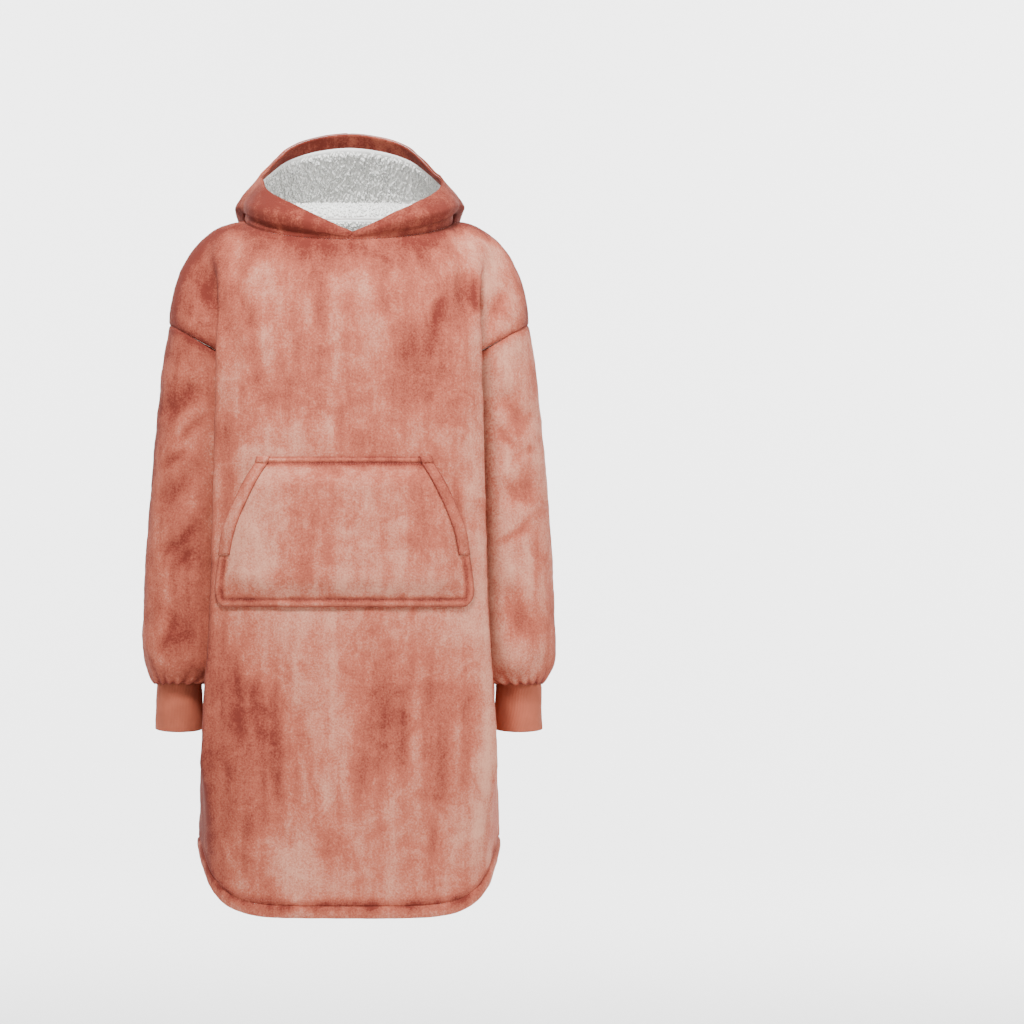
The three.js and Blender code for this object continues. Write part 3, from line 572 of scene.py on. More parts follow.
def hood_column(alpha):
    """The places along the hood's cloth at one turn around the neckline, and how far along each is."""
    places, lined = hood_cut(alpha)
    length = places["at"][-1]
    faced = length - min(FACING_WIDTH, FACING_LEAST_SHARE * length)
    distances = np.concatenate([
        with_seam_steps(np.linspace(0, lined, 35), first=min(SEAM_STEP, lined / 40))[:-1],
        np.linspace(lined, faced, 33)[:-1],
        np.linspace(faced, length, 9),
    ])
    place = row_at(places, "at", distances)
    from_back = abs(alpha - 180)
    middle = np.exp(-((from_back / HOOD_GROOVE_SPREAD) ** 2))
    groove = HOOD_GROOVE * middle * smooth(distances / lined)
    lean = place["lean"] * smooth((from_back - (180 - HOOD_LEAN_TO)) / (HOOD_LEAN_TO - HOOD_LEAN_FROM))
    out = np.array([sine(alpha), -cosine(alpha), 0])
    points = neckline_point(alpha) + out * (place["out"] - groove)[:, None]
    return points + np.stack([lean, 0 * lean, place["up"]], axis=-1), distances


HOOD_ROWS = {"unlined": 35, "lined": 32, "faced": 8}


def hood_piece(name, from_alpha):
    quarter = 90 * neck_shares() / NECK_SHARE
    alphas = from_alpha + np.concatenate([quarter, 180 - quarter[-2::-1]])
    columns = [hood_column(alpha) for alpha in alphas]
    return {
        "name": name, "points": np.stack([c[0] for c in columns], axis=1), "wall": in_mm(sizes().hood_wall),
        "seams": ("start", "left", "right"), "part": "hood", "alphas": alphas,
    }


def hood_layer(name, left, right, rows, wall, seams):
    """A layer inside the hood, from the hood's own places moved in through its wall."""
    inset = in_mm(sizes().hood_wall) + in_mm(sizes().seam)
    first, last = rows
    halves = []
    for half, columns in ((left, slice(LINING_SHORT_OF_POINT, None)), (right, slice(1, -LINING_SHORT_OF_POINT))):
        points = half["points"] - half["normals"] * inset
        halves.append(points[first:last + 1, columns])
    return {"name": name, "points": np.concatenate(halves, axis=1), "wall": wall, "seams": seams, "part": "layer"}


def front_place(x, z):
    """The place on the front panel with a given x and height, and the way it faces."""
    x, z = np.broadcast_arrays(np.asarray(x, float), np.asarray(z, float))
    pinch = row_at(BODY_ROWS, "z", z)["pinch"]
    turns = np.arange(91.0)
    shares = section_share(turns, pinch[..., None])
    high = np.argmax(np.concatenate([np.diff(shares) < 0, np.ones_like(shares[..., :1], bool)], axis=-1), axis=-1)
    low, high = np.zeros_like(x), high.astype(float)
    for _ in range(30):
        middle = (low + high) / 2
        inside = section_point(middle, z)[..., 0] < np.abs(x)
        low, high = np.where(inside, middle, low), np.where(inside, high, middle)
    side = np.where(x < 0, -1.0, 1.0)
    point = section_point(low, z)
    along = section_point(low + 1, z) - section_point(np.maximum(0, low - 1), z)
    normal = np.stack([side * np.abs(along[..., 1]), -along[..., 0], 0 * x], axis=-1)
    normal /= np.linalg.norm(normal, axis=-1, keepdims=True)
    point[..., 0] *= side
    return point, normal


def pocket_lift(z, from_edge):
    ends = POCKET_ROWS["z"]
    upright = smooth(np.minimum(z - ends[0], ends[-1] - z) / POCKET_SLOPE)
    opened = smooth((z - POCKET_MOUTH_Z) / POCKET_SLOPE) * upright
    inner = smooth(from_edge / POCKET_SLOPE)
    return POCKET_REST + upright * POCKET_BULGE * inner + opened * POCKET_MOUTH_LIFT * (1 - inner)


def rim(from_edge):
    """A puffed edge and the groove that its stitches pull in the pile."""
    puff = RIM_PUFF * np.sin(np.pi * np.clip(from_edge / STITCH_INSET, 0, 1))
    groove = RIM_GROOVE * np.exp(-(((from_edge - STITCH_INSET) / RIM_GROOVE_SPREAD) ** 2))
    return puff - groove


def pocket_piece(name):
    ends = POCKET_ROWS["z"]
    edge = np.array([0, 1.2, 2.6, 4.2, 6, 7.6, 9, 10.4, 12, 14])
    z = np.concatenate([ends[0] + edge, np.linspace(ends[0] + 18, ends[-1] - 18, 40), ends[-1] - edge[::-1]])
    half = row_at(POCKET_ROWS, "z", z)["half"]
    sides = np.array([0, 1.5, 3, 5, 7, 8.5, 10, 12, 14, 16])
    field = np.linspace(-1, 1, 64)
    x = np.stack([
        np.concatenate([-h + sides, field[1:-1] * (h - BAND_WIDTH), h - sides[::-1]]) for h in half
    ])
    zz = np.broadcast_to(z[:, None], x.shape)
    point, normal = front_place(POCKET_MIDDLE_X + x, zz)
    from_side = half[:, None] - np.abs(x)
    lift = pocket_lift(zz, from_side)
    from_end = np.minimum(zz - ends[0], ends[-1] - zz)
    below_mouth = smooth((POCKET_MOUTH_Z - zz) / 8)
    corner = smooth(np.minimum(from_end, from_side) / 3)
    relief = mix(rim(from_end), rim(np.minimum(from_end, from_side)), below_mouth)
    inner = point + normal * lift[..., None]
    outer = point + normal * (lift + in_mm(sizes().pocket_wall) + relief * mix(0.4, 1, corner))[..., None]
    return {
        "name": name, "points": outer, "inner": inner, "part": "pocket", "z": z, "sides": len(sides),
        "from_end": from_end, "from_side": from_side,
    }


def band_piece(name, pocket, side):
    first = int(np.argmin(np.abs(pocket["z"] - POCKET_MOUTH_Z)))
    count = pocket["sides"]
    columns = slice(-count, None) if side > 0 else slice(0, count)
    rows, normals = pocket["points"][first:, columns], pocket["normals"][first:, columns]
    gap, wall = in_mm(sizes().seam), in_mm(sizes().band_wall)
    share = np.linspace(0, 1, count)
    swell = 1.1 * np.sin(np.pi * share) ** 0.6 - 0.7 * np.exp(-(((share - (0.85 if side < 0 else 0.15)) / 0.08) ** 2))
    ends = smooth(np.arange(rows.shape[0]) / 4) * smooth((rows.shape[0] - 1 - np.arange(rows.shape[0])) / 4)
    outer = rows + normals * (gap + wall + swell[None, :] * ends[:, None])[..., None]
    return {"name": name, "points": outer, "inner": rows + normals * gap, "part": name, "normals": normals}


# Cloth

def unit(vectors):
    return vectors / np.maximum(np.linalg.norm(vectors, axis=-1, keepdims=True), 1e-9)


def quad_normals(points, is_ring):
    grid = np.concatenate([points, points[:, :1]], axis=1) if is_ring else points
    a, b = grid[:-1, :-1], grid[:-1, 1:]
    c, d = grid[1:, 1:], grid[1:, :-1]
    return unit(np.cross(c - a, d - b))


def face_normals(pieces):
    """The way the cloth faces at each place, shared evenly by the parts that meet there."""
    keys = np.concatenate([np.round(p["points"].reshape(-1, 3) * 200).astype(np.int64) for p in pieces])
    _, where = np.unique(keys, axis=0, return_inverse=True)
    where = where.reshape(-1)
    starts = np.cumsum([0] + [p["points"][..., 0].size for p in pieces])
    total = int(where.max()) + 1
    parts = {}
    for piece, start, stop in zip(pieces, starts, starts[1:]):
        rows, columns = piece["points"].shape[:2]
        index = where[start:stop].reshape(rows, columns)
        is_ring = piece.get("ring", False)
        normal = quad_normals(piece["points"], is_ring)
        low = index if is_ring else index[:, :-1]
        high = np.roll(index, -1, axis=1) if is_ring else index[:, 1:]
        sums = np.zeros((total, 3))
        for corner in (low[:-1], high[:-1], low[1:], high[1:]):
            np.add.at(sums, corner.reshape(-1), normal.reshape(-1, 3))
        parts.setdefault(piece["part"], np.zeros((total, 3)))
        parts[piece["part"]] += unit(sums)
        piece["index"] = index
    shared = unit(sum(unit(sums) for sums in parts.values()))
    underarm = sleeve_point(1, np.float64(0), np.float64(0))
    for piece in pieces:
        normal = shared[piece.pop("index")]
        place = piece["points"].copy()
        place[..., 0] = np.abs(place[..., 0])
        under = np.linalg.norm(place - underarm, axis=-1) < 0.5
        normal[under] = (0, 0, -1)
        piece["normals"] = normal


def fold_depth(folds, cloth, points, normals):
    """How far a cloth's folds move each of its places along its normal."""
    depth = np.zeros(points.shape[:2])
    for (on, face), rows in folds.items():
        if on != cloth:
            continue
        facing = smooth(normals[..., 1] * (-1 if face == "front" else 1) * FOLD_FACING)
        for *ends, width, deep in rows:
            start, run = ends[:2], np.subtract(ends[2:], ends[:2]).astype(float)
            place = points[..., [0, 2]] - start
            share = place @ run / (run @ run)
            aside = (place[..., 0] * run[1] - place[..., 1] * run[0]) / np.linalg.norm(run)
            fade = smooth(FOLD_FADE * share + FOLD_END_SHARE)
            fade = fade * smooth(FOLD_FADE * (1 - share) + FOLD_END_SHARE)
            depth += deep * fade * np.exp(-((aside / width) ** 2)) * facing
    return depth


def edge_mask(piece):
    rows, columns = piece["points"].shape[:2]
    inside = np.ones((rows, columns))
    inside[0] = inside[-1] = 0
    if not piece.get("ring"):
        inside[:, 0] = inside[:, -1] = 0
    return inside


def shape_cloth(piece):
    """Folds and swells move the cloth's inner places; its seams stay."""
    points, normals = piece["points"], piece["normals"]
    move = np.zeros(points.shape[:2])
    piece["shade"] = np.zeros(points.shape[:2])
    if "swells" in piece:
        move = move + piece["swells"][:, None]
    elif "folds" in piece:
        large = fold_depth(FOLDS, piece["folds"], points, normals)
        small = fold_depth(CREASES, piece["folds"], points, normals)
        move = (large + small) * edge_mask(piece)
        # Painted shade: the troughs of folds and creases are drawn darker, the deeper ones more
        piece["shade"] = np.clip(-(large / DEEP_FOLD + small / DEEP_CREASE), 0, 1)
    if "along" in piece:
        turns = ring_turns()[None, :] * 2 * np.pi
        near = np.exp(-(((SLEEVE_END - piece["along"]) / FINE_GATHER_SPREAD) ** 2))[:, None]
        wave = np.sin(FINE_GATHERS * turns + 1.3 * np.sin(3 * turns))
        move = move + FINE_GATHER_DEPTH * near * (wave - 0.4) * edge_mask(piece)
        # Painted shade in the troughs of the fine gathers at the sleeve's end
        piece["shade"] = np.maximum(piece["shade"], np.clip(-wave * near * 0.9, 0, 1))
    piece["points"] = points + normals * move[..., None]


def seam_shift(piece):
    """Each seam edge draws back into its own piece by half the gap that stitches leave."""
    points, normals = piece["points"], piece["normals"]
    shift = np.zeros_like(points)
    gap = SEWN_GAP
    if piece.get("ring"):
        along_row = np.roll(points, -1, axis=1) - np.roll(points, 1, axis=1)
    else:
        along_row = np.gradient(points, axis=1)
    along_column = np.gradient(points, axis=0)
    for seam, edge, inside, along in (
        ("start", np.s_[0], np.s_[1], along_row), ("end", np.s_[-1], np.s_[-2], along_row),
        ("left", np.s_[:, 0], np.s_[:, 1], along_column), ("right", np.s_[:, -1], np.s_[:, -2], along_column),
    ):
        if seam in piece["seams"]:
            inward = unit(np.cross(normals[edge], along[edge]))
            sign = np.sign(np.sum(inward * (points[inside] - points[edge]), axis=-1, keepdims=True))
            shift[edge] += inward * sign * gap / 2
    return shift


def fitted_wall(piece):
    """The wall's thickness, less where the cloth bends so tightly that its inner side would fold over."""
    points, normals = piece["points"], piece["normals"]
    bend = np.zeros(points.shape[:2])
    for axis in (0, 1):
        step, turn = np.diff(points, axis=axis), np.diff(normals, axis=axis)
        tight = np.sum(step * turn, axis=-1) / np.maximum(np.sum(step * step, axis=-1), 1e-6)
        ends = [(0, 0), (0, 0)]
        for side in ((1, 0), (0, 1)):
            ends[axis] = side
            bend = np.maximum(bend, np.pad(tight, ends))
    wall = np.minimum(piece["wall"], WALL_SHARE_OF_BEND / np.maximum(bend, 1e-6))
    for _ in range(WALL_EASING):
        padded = np.pad(wall, 1, mode="edge")
        around = (padded[:-2, 1:-1] + padded[2:, 1:-1] + padded[1:-1, :-2] + padded[1:-1, 2:]) / 4
        wall = np.minimum(wall, around)
    return np.maximum(wall, LEAST_WALL)


def uneven(points, size, seed):
    """Soft irregular heights between -1 and 1 over the places given."""
    offset = Vector((seed * 7.3, seed * 3.1, seed * 5.7))
    flat = points.reshape(-1, 3) / size
    values = [noise.noise(Vector(p) + offset) for p in flat]
    return np.array(values).reshape(points.shape[:-1]) * 2


def seam_closeness(piece, reach):
    """1 on a seam edge, falling to 0 a little way in."""
    points = piece["points"]
    close = np.zeros(points.shape[:2])
    down = np.linalg.norm(np.diff(points, axis=0), axis=-1)
    side = np.linalg.norm(np.diff(points, axis=1), axis=-1)
    zero_row, zero_column = np.zeros((1, points.shape[1])), np.zeros((points.shape[0], 1))
    from_start = np.concatenate([zero_row, np.cumsum(down, axis=0)])
    from_left = np.concatenate([zero_column, np.cumsum(side, axis=1)], axis=1)
    ways = {
        "start": from_start, "end": from_start[-1:] - from_start,
        "left": from_left, "right": from_left[:, -1:] - from_left,
    }
    for seam in piece["seams"]:
        close = np.maximum(close, np.exp(-((ways[seam] / reach) ** 2)))
    return close


def pile_shade(piece, seed):
    """Painted shade: how much darker the fleece is drawn at each place than its unshaded tone; below zero where it is
    drawn lighter.
    """
    points, normals = piece["points"], piece["normals"]
    # Painted shade in the seam grooves, where the pile sinks, blotchy along each seam
    wide = seam_closeness(piece, SEAM_SHADE_REACH)
    shade = piece.get("shade", 0) + SEAM_SHADE * wide * (1 + 0.5 * uneven(points, 18, seed + 8))
    if piece.get("folds") == "body":
        # Painted shadow under the hood, along the neckline and shoulder seam
        below_hood = seam_closeness({**piece, "seams": ("end",)}, SHOULDER_SHADE_REACH)
        shade = shade + SHOULDER_SHADE * below_hood
    if piece.get("folds"):
        # Painted shade: places turned sideways, away from the lamps in front, are drawn darker
        turned, across = 1 - np.abs(normals[..., 1]), points[..., 0]
        shade = shade + SIDE_SHADE * smooth((turned - 0.2) / 0.7)
        # Painted light and shade: the wearer's right is drawn darker, away from the key lamp, and the wearer's left
        # lighter, towards it
        right, left = smooth(-(across + LAMP_SIDE_FROM) / LAMP_SIDE_FROM), smooth((across - LAMP_SIDE_FROM) / LAMP_SIDE_FROM)
        shade = shade + LAMP_SIDE_SHADE_AND_LIGHT * (right - LAMP_SIDE_LIGHT_ON_LEFT * left)
    if piece["part"] == "hood":
        # Painted shade on the hood: all of it darker, and darkest low down near the neckline under its roll
        above = np.maximum(0, points[..., 2] - HOOD_SHADE_FROM) / HOOD_SHADE_RUN
        shade = shade + HOOD_SHADE + SHOULDER_SHADE * np.exp(-(above ** 2))
    return np.clip(shade, LEAST_SHADE, 1)


def lay_pile(piece, seed):
    """The outer face sinks at its seams and is a little uneven between them."""
    relief = in_mm(sizes().pile_relief)
    points, normals = piece["points"], piece["normals"]
    close = seam_closeness(piece, SEAM_DIP_REACH)
    rough = relief * (uneven(points, 26, seed) + 0.5 * uneven(points, 9, seed + 3))
    lift = rough * (1 - close) - in_mm(sizes().seam_dip) * close
    sewn = points + seam_shift(piece)
    piece["outer"] = sewn + normals * lift[..., None]
    piece["inner"] = sewn - normals * fitted_wall(piece)[..., None]
    piece["shade"] = pile_shade(piece, seed)


# Meshes

def grid_quads(rows, columns, is_ring):
    j, i = np.meshgrid(np.arange(rows - 1), np.arange(columns if is_ring else columns - 1), indexing="ij")
    nxt = (i + 1) % columns
    return np.stack([j * columns + i, j * columns + nxt, (j + 1) * columns + nxt, (j + 1) * columns + i], axis=-1)


def cloth_mesh(piece, outer_material, inner_material):
    """A closed wall between an outer and an inner grid of places, with UVs in metres along the cloth."""
    outer, inner = piece["outer"], piece["inner"]
    rows, columns = outer.shape[:2]
    is_ring = piece.get("ring", False)
    count = rows * columns
    quads = grid_quads(rows, columns, is_ring).reshape(-1, 4)
    faces = [quads, quads[:, ::-1] + count]
    lines = [np.arange(columns), count - 1 - np.arange(columns)]
    if is_ring:
        lines = [np.append(lines[0], 0), np.append(lines[1], count - 1)]
    else:
        lines += [np.arange(columns - 1, count, columns), np.arange(count - columns, -1, -columns)]
    for line in lines:
        a, b = line[:-1], line[1:]
        faces.append(np.stack([b, a, a + count, b + count], axis=-1))
    name = piece["name"] + "_cloth"
    mesh = bpy.data.meshes.new(name)
    vertices = np.concatenate([outer.reshape(-1, 3), inner.reshape(-1, 3)]) * MM
    every = np.concatenate(faces)
    mesh.from_pydata(vertices.tolist(), [], every.tolist())
    which = np.zeros(len(every), int)
    inside = np.ones((rows, columns))
    if piece.get("seams"):
        inside -= seam_closeness(piece, SEAM_ALLOWANCE)
    corners = inside.reshape(-1)[quads]
    which[len(quads):2 * len(quads)] = corners.max(axis=1) > 0.4
    mesh.materials.append(outer_material)
    mesh.materials.append(inner_material)
    mesh.polygons.foreach_set("material_index", which)
    mesh.polygons.foreach_set("use_smooth", np.ones(len(every), bool))
    down = np.concatenate([np.zeros((1, columns)), np.cumsum(np.linalg.norm(np.diff(outer, axis=0), axis=-1), axis=0)])
    side = np.linalg.norm(np.roll(outer, -1, axis=1) - outer, axis=-1)
    across = np.concatenate([np.zeros((rows, 1)), np.cumsum(side[:, :-1], axis=1)], axis=1)
    uv = np.tile(np.stack([across, down], axis=-1).reshape(-1, 2) * MM, (2, 1))
    layer = mesh.uv_layers.new(name="Cloth")
    layer.data.foreach_set("uv", uv[every.reshape(-1)].astype(np.float32).reshape(-1))
    shade = mesh.attributes.new("shade", "FLOAT", "POINT")
    values = np.broadcast_to(piece.get("shade", np.zeros((rows, columns))), (rows, columns)).reshape(-1)
    shade.data.foreach_set("value", np.tile(values, 2).astype(np.float32))
    mesh.validate()
    mesh.update()
    made = bpy.data.objects.new(name, mesh)
    bpy.context.scene.collection.objects.link(made)
    return made


def settle(made, node):
    """A piece rides on the garment's body and stands for its solid."""
    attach(made, BODY)
    if node:
        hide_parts(node)
    return made


# Shader node groups and materials

def add_node(tree, kind, inputs=(), **settings):
    node = tree.nodes.new(kind)
    for name, value in settings.items():
        setattr(node, name, value)
    for name, value in dict(inputs).items():
        if isinstance(value, bpy.types.NodeSocket):
            tree.links.new(value, node.inputs[name])
        else:
            node.inputs[name].default_value = value
    return node


def arrange(tree):
    """Nodes in columns, so that the tree can be read."""
    for k, node in enumerate(tree.nodes):
        node.location = (220 * (k % 8), -260 * (k // 8))


def group_with(name, inputs, outputs):
    tree = bpy.data.node_groups.new(name, "ShaderNodeTree")
    for label, kind, value in inputs:
        socket = tree.interface.new_socket(label, in_out="INPUT", socket_type=kind)
        if value is not None:
            socket.default_value = value
    for label, kind in outputs:
        tree.interface.new_socket(label, in_out="OUTPUT", socket_type=kind)
    return tree, tree.nodes.new("NodeGroupInput"), tree.nodes.new("NodeGroupOutput")


def maths(tree, operation, *values, **settings):
    return add_node(tree, "ShaderNodeMath", enumerate(values), operation=operation, **settings).outputs[0]


def noise_of(tree, place, scale, detail, roughness, distortion=0.0):
    return add_node(tree, "ShaderNodeTexNoise", {
        "Vector": place, "Scale": scale, "Detail": detail, "Roughness": roughness, "Distortion": distortion,
    }).outputs["Fac"]


def pile_group():
    """Cloudy nap of a brushed pile, less the painted shade: how light it is, and its height."""
    tree, given, result = group_with("Brushed pile", [
        ("Vector", "NodeSocketVector", None),
        ("Clouds", "NodeSocketFloat", 7.0),
        ("Patches", "NodeSocketFloat", 26.0),
        ("Streaks", "NodeSocketFloat", 60.0),
        ("Grain", "NodeSocketFloat", 420.0),
        ("Shade", "NodeSocketFloat", 0.0),
    ], [("Tone", "NodeSocketFloat"), ("Height", "NodeSocketFloat")])
    given = given.outputs
    place = given["Vector"]
    upright, stretched = (
        add_node(tree, "ShaderNodeMapping", {"Vector": place, "Scale": (1.0, 1.0, share)}).outputs["Vector"]
        for share in (CLOUD_UPRIGHT, STREAK_UPRIGHT)
    )
    clouds = noise_of(tree, upright, given["Clouds"], 3.0, 0.55, 0.6)
    patches = noise_of(tree, place, given["Patches"], 5.0, 0.62, 0.9)
    streaks = noise_of(tree, stretched, given["Streaks"], 4.0, 0.6)
    grain = noise_of(tree, place, given["Grain"], 3.0, 0.7)
    total = 0.0
    for layer, weight in zip((clouds, patches, streaks, grain), PILE_WEIGHTS):
        total = maths(tree, "MULTIPLY_ADD", maths(tree, "SUBTRACT", layer, 0.5), weight, total)
    tone = maths(tree, "ADD", total, PILE_TONE)
    painted_darkening = maths(tree, "MULTIPLY", given["Shade"], PILE_SHADE)
    tree.links.new(maths(tree, "SUBTRACT", tone, painted_darkening, use_clamp=True), result.inputs["Tone"])
    tree.links.new(maths(tree, "MULTIPLY_ADD", patches, 0.8, grain), result.inputs["Height"])
    arrange(tree)
    return tree


def new_material(name):
    material = bpy.data.materials.new(name)
    material.use_nodes = True
    tree = material.node_tree
    tree.nodes.clear()
    shader = tree.nodes.new("ShaderNodeBsdfPrincipled")
    out = tree.nodes.new("ShaderNodeOutputMaterial")
    tree.links.new(shader.outputs[0], out.inputs["Surface"])
    return material, tree, shader


def ramp(tree, fac, stops):
    made = add_node(tree, "ShaderNodeValToRGB", {"Fac": fac})
    elements = made.color_ramp.elements
    while len(elements) < len(stops):
        elements.new(0.5)
    for element, (position, colour) in zip(elements, stops):
        element.position = position
        element.color = (*colour, 1) if len(colour) == 3 else colour
    return made


def fleece_material():
    material, tree, shader = new_material("brushed_pile")
    c = colours()
    place = tree.nodes.new("ShaderNodeTexCoord").outputs["Object"]
    shade = add_node(tree, "ShaderNodeAttribute", attribute_name="shade").outputs["Fac"]
    pile = add_node(tree, "ShaderNodeGroup", node_tree=bpy.data.node_groups["Brushed pile"])
    tree.links.new(place, pile.inputs["Vector"])
    tree.links.new(shade, pile.inputs["Shade"])
    # The ramp's tone is the pile's random nap less the painted shade from the shade attribute
    colour = ramp(tree, pile.outputs["Tone"], [
        (0.02, tuple(c.deep)), (0.46, tuple(c.middle)), (0.9, tuple(c.light)),
    ])
    tree.links.new(colour.outputs["Color"], shader.inputs["Base Color"])
    rough = add_node(tree, "ShaderNodeMapRange", {"Value": pile.outputs["Tone"], "To Min": 0.92, "To Max": 0.7})
    tree.links.new(rough.outputs["Result"], shader.inputs["Roughness"])
    bump = add_node(tree, "ShaderNodeBump", {"Height": pile.outputs["Height"], "Strength": 0.55, "Distance": 0.0012})
    tree.links.new(bump.outputs["Normal"], shader.inputs["Normal"])
    shader.inputs["Specular IOR Level"].default_value = 0.25
    shader.inputs["Sheen Weight"].default_value = 0.05
    shader.inputs["Sheen Roughness"].default_value = 0.5
    shader.inputs["Sheen Tint"].default_value = (*c.light, 1)
    arrange(tree)
    return material


def plush_material():
    material, tree, shader = new_material("curly_plush")
    c = colours()
    place = tree.nodes.new("ShaderNodeTexCoord").outputs["Object"]
    tufts = add_node(tree, "ShaderNodeTexNoise", {
        "Vector": place, "Scale": 130.0, "Detail": 4.0, "Roughness": 0.65, "Distortion": 1.6})
    fibres = add_node(tree, "ShaderNodeTexNoise", {"Vector": place, "Scale": 600.0, "Detail": 3.0, "Roughness": 0.7})
    # Painted shade and light: the tufts' colour follows their bump, darker in the hollows and whiter on the tops
    colour = ramp(tree, tufts.outputs["Fac"], [
        (0.28, tuple(v * 0.93 for v in c.plush)), (0.5, tuple(c.plush)), (0.8, (0.98, 0.98, 0.96)),
    ])
    tree.links.new(colour.outputs["Color"], shader.inputs["Base Color"])
    height = add_node(tree, "ShaderNodeMath", operation="MULTIPLY_ADD")
    tree.links.new(tufts.outputs["Fac"], height.inputs[0])
    height.inputs[1].default_value = 2.0
    tree.links.new(fibres.outputs["Fac"], height.inputs[2])
    bump = add_node(tree, "ShaderNodeBump", {"Height": height.outputs[0], "Strength": 0.4, "Distance": 0.0012})
    tree.links.new(bump.outputs["Normal"], shader.inputs["Normal"])
    shader.inputs["Roughness"].default_value = 0.95
    shader.inputs["Specular IOR Level"].default_value = 0.2
    shader.inputs["Sheen Weight"].default_value = 0.6
    arrange(tree)
    return material


def rib_material():
    material, tree, shader = new_material("cuff_knit")
    c = colours()
    uv = add_node(tree, "ShaderNodeUVMap", uv_map="Cloth").outputs["UV"]
    place = tree.nodes.new("ShaderNodeTexCoord").outputs["Object"]
    ribs = add_node(tree, "ShaderNodeTexWave", {
        "Vector": uv, "Scale": 150.0, "Distortion": 0.25, "Detail": 1.0, "Detail Scale": 3.0},
        bands_direction="X")
    loops = add_node(tree, "ShaderNodeTexWave", {"Vector": uv, "Scale": 260.0, "Distortion": 0.4},
                     bands_direction="Y")
    tone = add_node(tree, "ShaderNodeTexNoise", {"Vector": place, "Scale": 40.0, "Detail": 4.0})
    fuzz = add_node(tree, "ShaderNodeTexNoise", {"Vector": place, "Scale": 900.0, "Detail": 2.0})
    colour = ramp(tree, tone.outputs["Fac"], [
        (0.25, tuple(v * 0.84 for v in c.rib)), (0.75, tuple(min(1, v * 1.12) for v in c.rib)),
    ])
    # Painted shade: the colour is drawn darker in the rib valleys, where the bump sinks
    painted_darkening = add_node(tree, "ShaderNodeMix", data_type="RGBA", blend_type="MULTIPLY")
    tree.links.new(ribs.outputs["Fac"], painted_darkening.inputs["Factor"])
    tree.links.new(colour.outputs["Color"], painted_darkening.inputs[6])
    painted_darkening.inputs[7].default_value = (0.9, 0.86, 0.84, 1)
    tree.links.new(painted_darkening.outputs[2], shader.inputs["Base Color"])
    height = add_node(tree, "ShaderNodeMath", operation="MULTIPLY_ADD")
    tree.links.new(ribs.outputs["Fac"], height.inputs[0])
    height.inputs[1].default_value = -1.4
    tree.links.new(loops.outputs["Fac"], height.inputs[2])
    more = add_node(tree, "ShaderNodeMath", operation="MULTIPLY_ADD")
    tree.links.new(fuzz.outputs["Fac"], more.inputs[0])
    more.inputs[1].default_value = 0.5
    tree.links.new(height.outputs[0], more.inputs[2])
    bump = add_node(tree, "ShaderNodeBump", {"Height": more.outputs[0], "Strength": 0.4, "Distance": 0.0005})
    tree.links.new(bump.outputs["Normal"], shader.inputs["Normal"])
    shader.inputs["Roughness"].default_value = 0.88
    shader.inputs["Specular IOR Level"].default_value = 0.25
    arrange(tree)
    return material


def thread_material():
    material, tree, shader = new_material("sewing_thread")
    place = tree.nodes.new("ShaderNodeTexCoord").outputs["Object"]
    twist = add_node(tree, "ShaderNodeTexNoise", {"Vector": place, "Scale": 1500.0, "Detail": 2.0})
    c = tuple(colours().thread)
    # Painted shade and light: the colour follows the twist's bump, darker in its hollows and lighter on its ridges
    colour = ramp(tree, twist.outputs["Fac"], [(0.3, tuple(v * 0.8 for v in c)), (0.7, tuple(v * 1.2 for v in c))])
    tree.links.new(colour.outputs["Color"], shader.inputs["Base Color"])
    bump = add_node(tree, "ShaderNodeBump", {"Height": twist.outputs["Fac"], "Strength": 0.3, "Distance": 0.0002})
    tree.links.new(bump.outputs["Normal"], shader.inputs["Normal"])
    shader.inputs["Roughness"].default_value = 0.7
    arrange(tree)
    return material


# Geometry node trees

def geometry_group(name, inputs):
    tree = bpy.data.node_groups.new(name, "GeometryNodeTree")
    tree.interface.new_socket("Geometry", in_out="INPUT", socket_type="NodeSocketGeometry")
    for label, kind, value in inputs:
        socket = tree.interface.new_socket(label, in_out="INPUT", socket_type=kind)
        if value is not None:
            socket.default_value = value
    tree.interface.new_socket("Geometry", in_out="OUTPUT", socket_type="NodeSocketGeometry")
    return tree, tree.nodes.new("NodeGroupInput").outputs, tree.nodes.new("NodeGroupOutput").inputs


